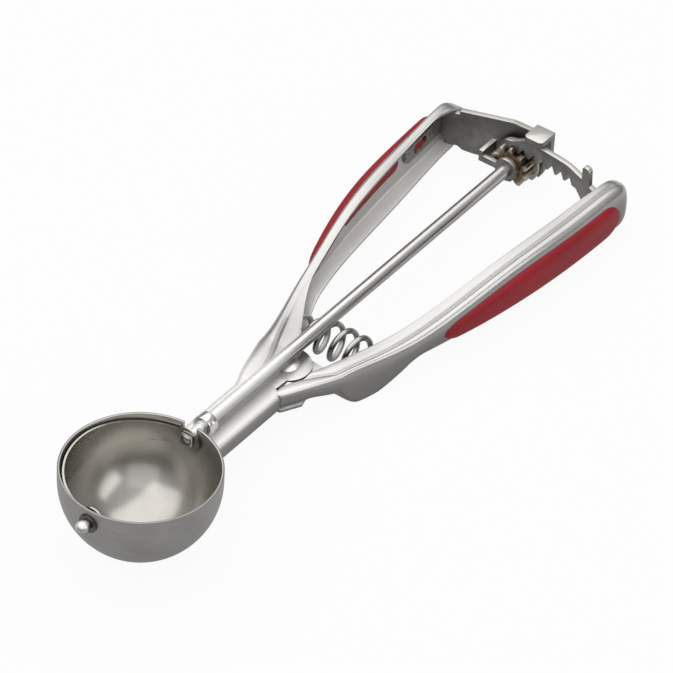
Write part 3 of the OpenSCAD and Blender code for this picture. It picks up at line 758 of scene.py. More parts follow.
class Value:
    """A number on a node's socket that takes part in Python expressions."""

    def __init__(self, finish, socket):
        self.finish = finish
        self.socket = socket

    def math(self, operation, first, second):
        node = self.finish.node("ShaderNodeMath", {"operation": operation}, {0: first, 1: second})
        return Value(self.finish, node.outputs[0])

    __add__ = arithmetic("ADD")
    __radd__ = arithmetic("ADD", True)
    __sub__ = arithmetic("SUBTRACT")
    __rsub__ = arithmetic("SUBTRACT", True)
    __mul__ = arithmetic("MULTIPLY")
    __rmul__ = arithmetic("MULTIPLY", True)
    __pow__ = arithmetic("POWER")
    at_least = arithmetic("MAXIMUM")
    at_most = arithmetic("MINIMUM")

    def rising(self, low, high):
        """0 below low, 1 above high and a smooth rise between."""
        node = self.finish.node(
            "ShaderNodeMapRange",
            {"interpolation_type": "SMOOTHSTEP"},
            {"Value": self, "From Min": low, "From Max": high},
        )
        return Value(self.finish, node.outputs[0])


class Nodes:
    """A node tree that is built from nothing."""

    def __init__(self, owner):
        owner.use_nodes = True
        self.tree = owner.node_tree
        self.tree.nodes.clear()

    def node(self, kind, settings=None, inputs=None):
        """Adds a node, sets it, then fills its sockets with values or links."""
        node = self.tree.nodes.new(kind)
        for key, value in (settings or {}).items():
            setattr(node, key, value)
        for key, value in (inputs or {}).items():
            if isinstance(value, Value):
                value = value.socket
            if isinstance(value, bpy.types.NodeSocket):
                self.tree.links.new(value, node.inputs[key])
            else:
                node.inputs[key].default_value = value
        return node


class Finish(Nodes):
    """A material and the nodes that make its finish."""

    def __init__(self, name):
        self.material = MADE[name] = bpy.data.materials.new(f"{name}_finish")
        super().__init__(self.material)

    def place(self, size=(1.0, 1.0, 1.0)):
        """The tool's own coordinates, in units of size, all in metres."""
        coords = self.node("ShaderNodeTexCoord")
        mapping = self.node(
            "ShaderNodeMapping",
            {"vector_type": "TEXTURE"},
            {
                "Vector": coords.outputs["Object"],
                "Location": (0.0, 0.0, BOWL_R * MM),
                "Rotation": (0.0, LEAN, 0.0),
                "Scale": size,
            },
        )
        return mapping.outputs[0]

    def noise(self, size, detail=3.0, rough=0.5, vector=None):
        inputs = {
            "Vector": vector or self.place(size),
            "Scale": 1.0,
            "Detail": detail,
            "Roughness": rough,
        }
        return Value(self, self.node("ShaderNodeTexNoise", None, inputs).outputs[0])

    def split(self, vector):
        node = self.node("ShaderNodeSeparateXYZ", None, {0: vector})
        return [Value(self, socket) for socket in node.outputs]

    def joined(self, x, y, z):
        return self.node("ShaderNodeCombineXYZ", None, {0: x, 1: y, 2: z}).outputs[0]

    def mixed(self, share, first, second):
        """A colour between two colours."""
        ends = {6: first, 7: second}
        for key, end in ends.items():
            if not isinstance(end, bpy.types.NodeSocket):
                ends[key] = (*end, 1.0)
        node = self.node("ShaderNodeMix", {"data_type": "RGBA"}, {0: share, **ends})
        return node.outputs[2]

    def facing_in(self, low, high):
        """1 where the surface faces the rod from a side."""
        normal = self.node("ShaderNodeNewGeometry").outputs["Normal"]
        out = self.split(self.place())[1].rising(-0.001, 0.001) * 2 - 1
        return (self.split(normal)[1] * out * -1).rising(low, high)

    def facing_up(self, low, high):
        """0 where the surface faces sideways or down, 1 where it faces out of the bowl."""
        normal = self.node("ShaderNodeNewGeometry").outputs["Normal"]
        node = self.node(
            "ShaderNodeVectorMath",
            {"operation": "DOT_PRODUCT"},
            {0: normal, 1: (math.sin(LEAN), 0.0, math.cos(LEAN))},
        )
        return Value(self, node.outputs["Value"]).rising(low, high)

    def bump(self, height, distance, strength=1.0):
        inputs = {"Height": height, "Distance": distance, "Strength": strength}
        return self.node("ShaderNodeBump", None, inputs).outputs[0]

    def shader(self, **sockets):
        """The Principled shader, with underscores for the spaces in its sockets' names."""
        inputs = {key.replace("_", " "): value for key, value in sockets.items()}
        node = self.node("ShaderNodeBsdfPrincipled", None, inputs)
        self.node("ShaderNodeOutputMaterial", None, {0: node.outputs[0]})
        return self.material


def tones(colour_value, dark, light):
    """Two shades of a colour."""
    return [tuple(min(1.0, c * k) for c in colour_value) for k in (dark, light)]


def brushed(
    name, base, rough, grain=(0.014, 0.0004, 0.0004), spread=0.035, deep=0.000002, dark=0.94, side=1.0
):
    """Steel with a fine grain, slow stains and a slight unevenness of gloss.
    With side under 1, painted shade darkens what faces sideways or down to side times its colour, while
    the channels' insides are spared, given painted light and made rougher and less metallic."""
    finish = Finish(name)
    lines = finish.noise(grain, 4.0, 0.6)
    cloud = finish.noise((0.02, 0.009, 0.009), 3.0)
    wear = (lines * 0.7 + cloud * 0.5).rising(0.35, 0.85)
    shade = finish.mixed(wear, *tones(base, dark, 1.06))
    gloss = (lines - 0.5) * (2 * spread) + (cloud - 0.5) * spread + rough
    metal = 1.0
    if side < 1:
        x, _, z = finish.split(finish.place())
        hidden = 1 - (z - x * CHANNEL_SLOPE + CHANNEL_DROP).rising(-0.002, 0.002)
        neck = 0.8 * (1 - x.rising(0.06, 0.085))
        # Painted light: up-facing faces inside the lower half of the channels and on the neck, masked
        # here for the painted fill colour.
        painted_fill_mask = finish.facing_up(0.3, 0.8) * hidden.at_least(neck)
        inside = finish.facing_in(0.1, 0.6).at_least(painted_fill_mask)
        # Painted shade: a darker copy of the colour for faces that turn sideways or down; faces that turn
        # up or into the channels keep the full colour.
        painted_side_shade = finish.mixed(wear, *tones(base, dark * side, 1.06 * side))
        shade = finish.mixed(finish.facing_up(-0.2, 0.75).at_least(inside), painted_side_shade, shade)
        # Painted light: these faces take the light fill colour in place of their shade.
        shade = finish.mixed(painted_fill_mask, shade, finishes().painted_fill_light)
        gloss = gloss + inside * 0.2
        metal = 1 - inside * 0.6
    return finish.shader(
        Base_Color=shade,
        Metallic=metal,
        Roughness=gloss.at_least(0.03),
        Normal=finish.bump(lines, deep),
    )


def satin_steel():
    f = finishes()
    # Painted shade: the handles' faces that turn sideways or down at 0.36 of their colour, with painted
    # light in their insides.
    return brushed("satin_steel", f.satin, f.satin_rough, side=0.36)


def bright_steel():
    f = finishes()
    grain = (0.02, 0.0005, 0.0005)
    # Painted shade: faces of the rod, rivets and ball that turn sideways or down at 0.45 of their colour,
    # with the same painted light where they face into the channels.
    return brushed("bright_steel", f.bright, f.bright_rough, grain, 0.03, 0.000001, side=0.45)


def bowl_steel():
    """Brushed rings outside, a polished inside with faint swirls."""
    f = finishes()
    finish = Finish("bowl_steel")
    x, y, z = finish.split(finish.place())
    below = z.at_most(0.0)
    out = (x * x + y * y + below * below) ** 0.5
    outside = out.rising((BOWL_R - 0.6) * MM, (BOWL_R - 0.4) * MM)
    rings = finish.noise(None, 3.0, 0.6, finish.joined(x * 60, y * 60, z * 3200))
    cloud = finish.noise((0.012, 0.012, 0.012), 3.0)
    wear = (rings * 0.6 + cloud * 0.6).rising(0.35, 0.85)
    outer = finish.mixed(wear, *tones(f.bowl, 0.82, 1.08))
    inner = finish.mixed(cloud.rising(0.3, 0.7), *tones(f.mirror, 0.93, 1.03))
    gloss_out = f.bowl_rough + (rings - 0.5) * 0.2 + (cloud - 0.5) * 0.08
    gloss_in = f.mirror_rough + (rings - 0.5) * 0.05 + (cloud - 0.5) * 0.04
    gloss = gloss_in * (1 - outside) + gloss_out * outside
    return finish.shader(
        Base_Color=finish.mixed(outside, inner, outer),
        Metallic=0.85,
        Roughness=gloss.at_least(0.03),
        Normal=finish.bump(rings * outside, 0.000006),
    )


def plate_steel():
    """Blanked plate: matt faces with a random tone, and a painted highlight: every face that turns up
    takes the light colour.
    """
    f = finishes()
    finish = Finish("plate_steel")
    # Painted highlight: faces that turn up, the plates' top edges most of all, are lit by colour rather
    # than by the lamps.
    edge = finish.facing_up(0.35, 0.8)
    pits = finish.noise((0.0009, 0.0009, 0.0009), 4.0, 0.6)
    cloud = finish.noise((0.007, 0.007, 0.007), 3.0)
    face = finish.mixed(cloud.rising(0.3, 0.7), *tones(f.plate, 0.8, 1.25))
    shade = finish.mixed(edge, face, f.pale_steel_and_painted_highlight)
    gloss = 0.46 + (pits - 0.5) * 0.12 + (cloud - 0.5) * 0.1
    return finish.shader(
        Base_Color=shade,
        Metallic=1.0,
        Roughness=gloss,
        Normal=finish.bump(pits, 0.00001),
    )


def gear_steel():
    """Milled steel with oil in the tooth roots."""
    f = finishes()
    finish = Finish("gear_steel")
    _, y, z = finish.split(finish.place())
    out = (y * y + z * z) ** 0.5
    root = 1 - out.rising(0.0052, 0.0068)
    cloud = finish.noise((0.0016, 0.0016, 0.0016), 3.0)
    milled = finish.noise((0.00025, 0.004, 0.004), 3.0)
    stain = (root * 0.9 + cloud.rising(0.5, 0.75) * 0.35).at_most(1.0)
    shade = finish.mixed(stain, f.gear, f.gear_stain)
    gloss = 0.28 + (milled - 0.5) * 0.14 + stain * 0.12
    return finish.shader(
        Base_Color=shade,
        Metallic=1.0,
        Roughness=gloss,
        Normal=finish.bump(milled, 0.000008),
    )


def plain_metal(name, base, rough):
    return brushed(name, base, rough, (0.003, 0.003, 0.003), 0.03, 0.000001, 0.92)


def silicone():
    """Soft moulded rubber with a fine matt skin."""
    f = finishes()
    finish = Finish("red_silicone")
    skin = finish.noise((0.00022, 0.00022, 0.00022), 2.0)
    cloud = finish.noise((0.018, 0.01, 0.01), 3.0)
    shade = finish.mixed(cloud.rising(0.3, 0.7), *tones(f.silicone, 0.9, 1.1))
    gloss = 0.5 + (cloud - 0.5) * 0.12 + (skin - 0.5) * 0.08
    return finish.shader(
        Base_Color=shade,
        Roughness=gloss,
        Normal=finish.bump(skin, 0.00001, 0.6),
        Specular_IOR_Level=0.3,
        Sheen_Weight=0.05,
        Sheen_Roughness=0.4,
    )


# ----- Pieces -----
SCRAPER_R = BOWL_R - 1.4
SCRAPER_T = 0.6
WASHER_W = 4.4
WASHER_T = 0.5
PLATE_T = 1.6
PINION_T = 4.8
PINION_AHEAD = 2.8
SPIGOT = 0.5
PLAY = 0.06
SKIN = 0.02


def washer_x():
    """Station of the flat washer's front face, inside the scraper's ear."""
    reach = math.sqrt((SCRAPER_R - SCRAPER_T) ** 2 - (WASHER_W / math.sqrt(2)) ** 2)
    return reach - WASHER_T - 0.05


def pinion_x(size):
    """Station of the pinion's front face."""
    return PIVOT_X + size.reach - PINION_AHEAD


def spigot_r(size):
    """Radius of the rod's turned-down rear end."""
    return size.rod_d / 2 - SPIGOT


def ring(low, high, inner, outer, first, last):
    """The outline of a turned ring between two stations, with an outer chamfer at each end."""
    return [
        (low, inner), (low, outer - first), (low + first, outer),
        (high - last, outer), (high, outer - last), (high, inner),
    ]


def done():
    return {"FINISHED"}


class SCOOP_OT_bowl(bpy.types.Operator):
    """Makes the bowl: half a ball with a straight rim, its wall, the rod's slot and the pin's hole"""

    bl_idname = "scoop.bowl"
    bl_label = "Bowl"

    def execute(self, context):
        size = sizes()
        obj = ball("bowl_dressed", BOWL_R, 192)
        with editing(obj):
            bpy.ops.mesh.bisect(plane_co=(0, 0, 0), plane_no=(0, 0, 1), clear_outer=True)
            pick(obj, "EDGE", lambda e: all(abs(v.co.z) < EPS for v in e.verts))
            bpy.ops.mesh.extrude_region_move(TRANSFORM_OT_translate={"value": (0, 0, size.rim_h)})
        modified(obj, "SOLIDIFY", thickness=size.bowl_wall, offset=-1.0, use_even_offset=True)
        rounded(obj, 0.28, 3, 60)
        half = size.rim_slot / 2
        slot = [(half, 2 * size.rim_h), (-half, 2 * size.rim_h), *arc((0, 0), half, 180, 360, 24)]
        cutters = [
            plate("slot", slot, BOWL_R, YZ),
            plate("hole", circle(size.pin_d / 2 + 1, 24), BOWL_R, crosswise(-2 * BOWL_R + 5)),
        ]
        combined(obj, "DIFFERENCE", cutters)
        dressed(obj, "bowl", bowl_steel(), 40)
        return done()


class SCOOP_OT_scraper(bpy.types.Operator):
    """Makes the scraper: a strip of a thin ball with round ears, and its square washer"""

    bl_idname = "scoop.scraper"
    bl_label = "Scraper"

    def execute(self, context):
        size = sizes()
        rest, width, lens, ear, eye = 4.0, 11.0, 100.0, 4.4, 1.3
        obj = ball("scraper_dressed", SCRAPER_R, 160)
        modified(obj, "SOLIDIFY", thickness=SCRAPER_T, offset=-1.0)
        half_chord = math.sqrt(lens**2 - (lens - width / 2) ** 2)
        spread = math.degrees(math.asin(min(half_chord, BOWL_R) / lens))
        outline = [
            *arc((0, width / 2 - lens), lens, 90 - spread, 90 + spread, 32),
            *arc((0, lens - width / 2), lens, 270 - spread, 270 + spread, 32),
        ]
        strip = plate("strip", outline, BOWL_R, Matrix.Rotation(math.radians(-rest - 90), 4, "X"))
        ears = plate("ears", circle(ear, 72), 2 * BOWL_R, crosswise(-BOWL_R))
        combined(strip, "UNION", [ears])
        combined(obj, "INTERSECT", [strip])
        square = [(eye, eye), (-eye, eye), (-eye, -eye), (eye, -eye)]
        cutters = [
            plate("square", square, BOWL_R, YZ),
            plate("hole", circle(size.pin_d / 2, 24), BOWL_R, crosswise(-BOWL_R)),
        ]
        combined(obj, "DIFFERENCE", cutters)
        rounded(obj, 0.12, 2, 50)
        polish = brushed("strip_steel", finishes().mirror, 0.22, (0.012, 0.002, 0.002), 0.03, 0.000001)
        dressed(obj, "scraper", polish, 40)

        square = round_box(WASHER_W, WASHER_W, 0.7)
        washer = plate("scraper_washer_dressed", square, WASHER_T, crosswise(washer_x()))
        rounded(washer, 0.1)
        steel = plain_metal("washer_steel", finishes().pale_steel_and_painted_highlight, 0.3)
        dressed(washer, "scraper_washer", steel)
        return done()


def dome(base, radius, height, steps=10):
    """The outline of a shallow dome from its edge at a station to the axis."""
    curve = (height * height + radius * radius) / (2 * abs(height))
    sign = 1 if height > 0 else -1
    centre = base + height - sign * curve
    spread = math.asin(min(1.0, radius / curve))
    turns = [spread * (1 - k / steps) for k in range(steps + 1)]
    return [(centre + sign * curve * math.cos(a), curve * math.sin(a)) for a in turns]


class SCOOP_OT_rod(bpy.types.Operator):
    """Turns the drive rod with its squared, riveted nose and its rear collar"""

    bl_idname = "scoop.rod"
    bl_label = "Drive rod"

    def execute(self, context):
        size = sizes()
        steel = bright_steel()
        low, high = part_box("drive_rod")
        nose_r, rod_r, end_r = size.nose_d / 2, size.rod_d / 2, spigot_r(size)
        nose_x, shoulder_x = BOWL_R - 1.38, BOWL_R + 4.2
        gear_x = pinion_x(size)
        end_x, collar_l = gear_x + 9.3, 1.4
        outline = [
            (nose_x, 0), (nose_x, nose_r - 0.2), (nose_x + 0.2, nose_r), (shoulder_x, nose_r),
            (shoulder_x, rod_r - 0.25), (shoulder_x + 0.25, rod_r), (gear_x, rod_r),
            (gear_x, end_r), *dome(end_x + collar_l, end_r, 0.5),
        ]
        rod = turned("drive_rod_dressed", outline, 72)
        face_x = washer_x()
        square = round_box(2.6, 2.6, 0.2, 2)
        shank = plate("shank", square, nose_x - face_x + 0.3, crosswise(face_x - 0.05))
        head = turned("head", [(face_x + 0.01, 0), *dome(face_x, 1.95, -0.8)], 48)
        joined(rod, [shank, head])
        dressed(rod, "drive_rod", steel, 30)

        outline = ring(end_x, end_x + collar_l, end_r, end_r + 1.5, 0.2, 0.3)
        collar = turned("rod_end_collar_dressed", outline, 64)
        dark = plain_metal("collar_steel", finishes().pale_steel_and_painted_highlight, 0.25)
        dressed(collar, "rod_end_collar", dark, 30)
        return done()


class SCOOP_OT_front_bearing(bpy.types.Operator):
    """Makes the front bearing: a turned ring on a foot, with two punch marks"""

    bl_idname = "scoop.front_bearing"
    bl_label = "Front bearing"

    def execute(self, context):
        size = sizes()
        first, last = BOWL_R + 5, BOWL_R + 5 + size.bearing_l
        outer, inner = size.bearing_d / 2, size.rod_d / 2 + PLAY
        edge, punch_r, punch_out, punch_turn = 0.35, 0.85, 0.35, 50
        curve = [(edge * math.sin(a), outer - edge + edge * math.cos(a)) for a in (0, 0.4, 0.8, 1.2)]
        outline = [
            (first, inner + 0.1), (first, outer - edge),
            *((first + edge - x, y) for x, y in reversed(curve)),
            *((last - edge + x, y) for x, y in curve),
            (last, outer - edge), (last, inner + 0.1), (last - 0.1, inner), (first + 0.1, inner),
        ]
        bearing = turned("front_bearing_dressed", outline, 96)
        foot_h, middle = size.neck_drop - inner - 0.2, (first + last) / 2
        base = round_box(size.bearing_l, 5.0, 0.5)
        foot = plate("foot", base, foot_h, Matrix.Translation((middle, 0, -size.neck_drop)))
        for side in (LEFT, RIGHT):
            punch = ball("punch", punch_r, 24)
            lean = Matrix.Rotation(math.radians(punch_turn * side), 4, "X")
            punch.data.transform(lean @ Matrix.Translation((middle, 0, outer + punch_out)))
            combined(bearing, "DIFFERENCE", [punch])
        joined(bearing, [foot])
        steel = brushed("ring_steel", finishes().bright, 0.2)
        dressed(bearing, "front_bearing", steel)
        return done()


class SCOOP_OT_front_pin(bpy.types.Operator):
    """Turns the ball pin in front of the bowl and its dark bushing"""

    bl_idname = "scoop.front_pin"
    bl_label = "Front pin"

    def execute(self, context):
        size = sizes()
        pin, ball_r = size.pin_d / 2, size.ball_d / 2
        flange, head_r = -BOWL_R - 0.8, pin + 0.7
        centre = flange - ball_r + 0.25
        flat = flange - 0.15 - centre
        spread = math.acos(flat / ball_r)
        around = [math.pi - (math.pi - spread) * k / 32 for k in range(33)]
        head_x = -math.sqrt((SCRAPER_R - SCRAPER_T) ** 2 - head_r**2) + 0.05
        outline = [
            *((centre + ball_r * math.cos(a), ball_r * math.sin(a)) for a in around),
            (centre + flat, pin), (head_x, pin), (head_x, head_r), *dome(head_x, head_r, 0.9),
        ]
        obj = turned("front_pin_dressed", outline, 96)
        dressed(obj, "front_pin", MADE["bright_steel"], 30)

        edge, bore = pin + 1.8, pin + PLAY
        bushing = turned("front_bushing_dressed", [
            (flange, bore), (flange, edge - 0.2), (flange + 0.2, edge), (flange + 1.1, edge),
            (flange + 1.1, pin + 1), (flange + 1.65, pin + 1), (flange + 1.65, bore),
        ], 64)
        dark = plain_metal("dark_steel", finishes().dark, 0.35)
        dressed(bushing, "front_bushing", dark, 30)
        return done()


class SCOOP_OT_fixed_handle(bpy.types.Operator):
    """Makes the fixed handle in one with the neck: tube, ear, seat and pressed channel"""

    bl_idname = "scoop.fixed_handle"
    bl_label = "Fixed handle"

    def tube(self, channel):
        """The neck from the bowl's wall to the seam, its first rows laid on the ball."""
        c, h = channel.neck_corner, channel.half_w
        top_z, low_z, steps = -channel.size.neck_drop, channel.neck_low, 40
        quarter = (0, 0.3, 0.6, 0.9, 1.2, math.pi / 2)
        corner = [(c - h - c * math.sin(a), top_z - c + c * math.cos(a)) for a in quarter[1:]]
        corner += [(c - h - c * math.cos(a), low_z + c - c * math.sin(a)) for a in quarter[:-1]]
        rows = []
        for k in range(steps + 1):
            x = mixed(BOWL_R, channel.seam + 0.02, k / steps)
            reach = 1 - k / steps
            row = [*channel.section(x, 0.0, 10, c - h), *((x, y, z) for y, z in corner)]
            row = [
                (x - reach * (BOWL_R + 0.15 - math.sqrt(BOWL_R**2 - y * y - z * z)), y, z)
                for x, y, z in row
            ]
            rows.append([*row, row[0]])
        tube = outwards(merged(lofted("neck", rows)))
        return modified(tube, "SOLIDIFY", thickness=channel.size.sheet, offset=-1.0, use_even_offset=True)

    def execute(self, context):
        size = sizes()
        channel = Channel(LEFT)
        h, seam = channel.half_w, channel.seam
        ear, seat = 1.067 * h, 1.467 * h
        obj = sheet_metal("left_handle_dressed", channel)
        top = [
            (seam, -h), (seam + 0.267 * h, -0.587 * h), (PIVOT_X - 0.95 * h, -0.613 * h),
            *at_pivot(arc((0, 0), ear, -145, 7, 30)),
        ]
        low = [
            (seam, -h), (seam + 0.08 * h, -ear), (PIVOT_X - 0.933 * h, -1.493 * h),
            *at_pivot(arc((0, 0), seat, -110, -80, 8)),
        ]
        trim_flanges(obj, channel, top, low)
        base = Matrix.Translation((0, 0, channel.neck_low + SKIN))
        disc = plate("seat", at_pivot(circle(seat, 120)), size.sheet - 2 * SKIN, base)
        joined(obj, [self.tube(channel), disc])
        dressed(obj, "left_handle", satin_steel(), 30)
        return done()


class SCOOP_OT_lever(bpy.types.Operator):
    """Makes the moving handle: pressed channel, nose and the two tongues round the rivet"""

    bl_idname = "scoop.lever"
    bl_label = "Lever"

    def execute(self, context):
        size = sizes()
        channel = Channel(RIGHT)
        h, seam, sheet = channel.half_w, channel.seam, size.sheet
        clear, tongue = 1.067 * h + 0.4, 1.027 * h
        obj = sheet_metal("right_handle_dressed", channel)
        nose = [(seam - 0.1 * h, 0.88 * h), (seam + 0.253 * h, 0.693 * h)]
        top = [
            *nose, *at_pivot(arc((0, 0), clear, 142, 81, 16)), (channel.start - 0.267 * h, 1.227 * h),
        ]
        low = [
            *nose, (PIVOT_X - 1.05 * h, 0.693 * h), *at_pivot(arc((0, 0), 1.52 * h, 110, 70, 12)),
        ]
        trim_flanges(obj, channel, top, low)
        rear = channel.start + sheet
        outline = [
            *at_pivot(arc((0, 0), tongue, -200, 20, 48)), (rear, channel.lip(rear)),
            (PIVOT_X - 0.4 * h, 1.4 * h), (PIVOT_X - 1.1 * h, 1.2 * h), (seam + 0.3 * h, 0.8 * h),
        ]
        points = [(x, -y) for x, y in outline]
        levels = (-size.neck_drop - 2 * sheet - 0.1, channel.neck_low + sheet + 0.12)
        places = [Matrix.Translation((0, 0, z)) for z in levels]
        joined(obj, [plate("tongue", points, sheet - 2 * SKIN, place) for place in places])
        dressed(obj, "right_handle", MADE["satin_steel"], 30)
        return done()


def grip(name, side, node):
    """A silicone pad moulded on a handle's back and through its windows."""
    channel = Channel(side)
    size = channel.size
    first, last = channel.along(0.347), channel.tip - 7.5
    nose_l, tail_l = 5, 7
    upper = 1.6 if side == LEFT else 2.6
    lower = 1.4

    def row(x):
        s = min(0.999, max(0.001, (x - first) / (last - first)))
        proud = (size.pad_t + channel.slim) * math.sin(math.pi * s) ** 0.22
        nose, tail = min(1.0, (x - first) / nose_l), min(1.0, (last - x) / tail_l)
        ends = max(0.2, math.sqrt(1 - (1 - nose) ** 2) * math.sqrt(1 - (1 - tail) ** 2))
        high, low = channel.top(x) - upper, channel.low(x) + lower
        middle, half = (high + low) / 2, (high - low) / 2 * ends
        inner, outer = channel.shoulder(x) + 0.8, channel.lip(x) + channel.depth(x) + proud
        points = []
        for k in range(41):
            a = math.pi * (k / 40 - 0.5)
            y = inner + (outer - inner) * abs(math.cos(a)) ** 0.36
            points.append((x, side * y, middle + half * signed_power(math.sin(a), 0.62)))
        return [*points, points[0]]

    steps = [mixed(first, last, 0.5 - 0.5 * math.cos(math.pi * k / 72)) for k in range(73)]
    pad = closed(lofted(name, [row(x) for x in steps]))
    core = channel.solid("core", 0.4)
    combined(core, "DIFFERENCE", windows(channel, 0.06))
    hollow = channel.solid("hollow", size.sheet - 0.05, channel.start, channel.tip - size.sheet)
    combined(pad, "DIFFERENCE", [core, hollow])
    dressed(pad, node, MADE["red_silicone"], 40)


class SCOOP_OT_grips(bpy.types.Operator):
    """Moulds the silicone grips of both handles"""

    bl_idname = "scoop.grips"
    bl_label = "Grips"

    def execute(self, context):
        silicone()
        grip("left_grip_dressed", LEFT, "left_grip")
        grip("right_grip_dressed", RIGHT, "right_grip")
        return done()


class SCOOP_OT_pivot(bpy.types.Operator):
    """Turns the pivot rivet and its washer"""

    bl_idname = "scoop.pivot"
    bl_label = "Pivot"

    def execute(self, context):
        size = sizes()
        top, low = -size.neck_drop, -size.neck_drop - size.neck_h
        under = low - 0.8
        head, shank = size.rivet_head_d / 2, size.rivet_d / 2
        tail = 0.8 * head
        rise = size.neck_drop - size.rod_d / 2 - 0.3
        upright = Matrix.Translation((PIVOT_X, 0, 0)) @ UPRIGHT
        rivet = turned("pivot_rivet_dressed", [
            *reversed(dome(under, tail, -1.1)), (under, shank), (top, shank), (top, head - 0.15),
            *dome(top + 0.2, head, rise - 0.2),
        ])
        rivet.data.transform(upright)
        dressed(rivet, "pivot_rivet", MADE["bright_steel"], 30)

        edge, bore = tail + 1.2, shank + 0.05
        washer = turned("pivot_washer_dressed", [
            (under, bore), (under, edge - 0.15), (under + 0.15, edge),
            (low - 0.05, edge), (low - 0.01, edge - 0.1), (low - 0.01, bore),
        ])
        washer.data.transform(upright)
        dressed(washer, "pivot_washer", MADE["satin_steel"], 30)
        return done()


class SCOOP_OT_gear(bpy.types.Operator):
    """Cuts the pinion with its flange, washer and bushing, and dresses the rack and its bracket"""

    bl_idname = "scoop.gear"
    bl_label = "Rack and pinion"

    module = 1.25
    teeth = 10
    pressure = 25
    backlash = 0.2
    pitch_r = module * teeth / 2
    root_r = pitch_r - 1.1 * module
    tip_r = pitch_r + 0.86 * module

    def tooth(self, turn):
        """The outline of one tooth: an involute flank, the tip and the other flank."""
        base_r = self.pitch_r * math.cos(math.radians(self.pressure))

        def involute(r):
            a = math.acos(min(1.0, base_r / r))
            return math.tan(a) - a

        half = (math.pi * self.module / 4 - self.backlash / 4) / self.pitch_r + involute(self.pitch_r)
        radii = [mixed(max(base_r, self.root_r), self.tip_r, k / 6) for k in range(7)]
        flank = [(r, half - involute(r)) for r in radii]
        root = [(self.root_r - 0.05, half + 0.05)]
        polar = [(r, turn - a) for r, a in [*root, *flank]]
        polar += [(r, turn + a) for r, a in [*reversed(flank), *root]]
        return [(r * math.cos(a), r * math.sin(a)) for r, a in polar]

    def pinion(self, size, x):
        """The pinion with its flange, its thrust washer and the bushing behind it."""
        steel = gear_steel()
        rod_r, end_r = size.rod_d / 2, spigot_r(size)
        turns = [math.pi / 2 + TURN * k / self.teeth for k in range(self.teeth)]
        outline = [p for turn in turns for p in self.tooth(turn)]
        pinion = plate("pinion_dressed", outline, PINION_T, crosswise(x))
        rounded(pinion, 0.13, 2, 40)
        dressed(pinion, "pinion", steel, 30)

        flange_x = x + PINION_T
        outline = ring(flange_x, flange_x + 0.9, end_r, self.tip_r + 1, 0.2, 0.2)
        flange = turned("pinion_flange_dressed", outline)
        dressed(flange, "pinion_flange", steel, 30)

        outline = ring(x - 0.5, x, rod_r, rod_r + 2, 0.1, 0.1)
        washer = turned("thrust_washer_dressed", outline, 64)
        dressed(washer, "thrust_washer", steel, 30)

        web_x, collar_r, bush_r, bore = flange_x + 2.4, end_r + 2, end_r + 1.2, end_r + PLAY
        bushing = turned("rear_bushing_dressed", [
            (web_x - 0.9, bore), (web_x - 0.9, collar_r - 0.1), (web_x - 0.8, collar_r),
            (web_x, collar_r), (web_x, bush_r), (web_x + 2, bush_r), (web_x + 2, bore),
        ], 64)
        bronze = plain_metal("brass_bush", finishes().bronze, 0.3)
        dressed(bushing, "rear_bushing", bronze, 30)

    def bracket(self, x):
        """The bracket, with its front ear rounded up to its strap and its cap's corners rounded."""
        obj = copied("gear_bracket", "gear_bracket_dressed")
        ear_r, top, low, far = 4.1, 1.3, -1.0, 7
        ear_x, strap_y = x - 0.6 - PLATE_T, self.tip_r + 1.68
        start, end = (math.degrees(math.asin(z / ear_r)) for z in (top, low))
        outline = [
            (strap_y, top), *arc((0, 0), ear_r, start, 360 + end, 60), (strap_y, low),
            (strap_y, -far), (-far, -far), (-far, far), (strap_y, far),
        ]
        cutter = plate("ear", outline, PLATE_T + 0.5, crosswise(ear_x - 0.4))
        combined(obj, "DIFFERENCE", [cutter])
        cap_x, cap_z = x + PINION_AHEAD - PLATE_T, 8

        def corner(edge):
            a, b = (v.co for v in edge.verts)
            at_cap = all(abs(p.x - cap_x) < 0.05 and p.z > cap_z for p in (a, b))
            return at_cap and abs(a.z - b.z) > 1

        with editing(obj):
            pick(obj, "EDGE", corner)
            bpy.ops.mesh.bevel(offset=1.5, segments=6, affect="EDGES")
        return obj

    def rack(self, x):
        """The rack, its end beyond the pinion cut back along a slope."""
        obj = copied("gear_rack", "gear_rack_dressed")
        end_y, slope_y, top, far = 0.75 * math.pi * self.module, -4.2, 14, 30
        outline = [
            (slope_y, top), (slope_y, 11.7), (end_y - 2.2, 9.2), (end_y, 8.8), (end_y, 0),
            (far, 0), (far, top),
        ]
        spare = plate("spare", outline, 12, crosswise(x - 3))
        return combined(obj, "DIFFERENCE", [spare])

    def execute(self, context):
        size = sizes()
        x = pinion_x(size)
        self.pinion(size, x)
        blank = plate_steel()
        pieces = {"gear_bracket": (self.bracket(x), 0.22), "gear_rack": (self.rack(x), 0.22)}
        for node in ("bracket_welds", "rack_welds"):
            pieces[node] = copied(node, f"{node}_dressed"), 0.1
        for node, (obj, width) in pieces.items():
            rounded(obj, width, 2, 40)
            dressed(obj, node, blank, 30)
        return done()


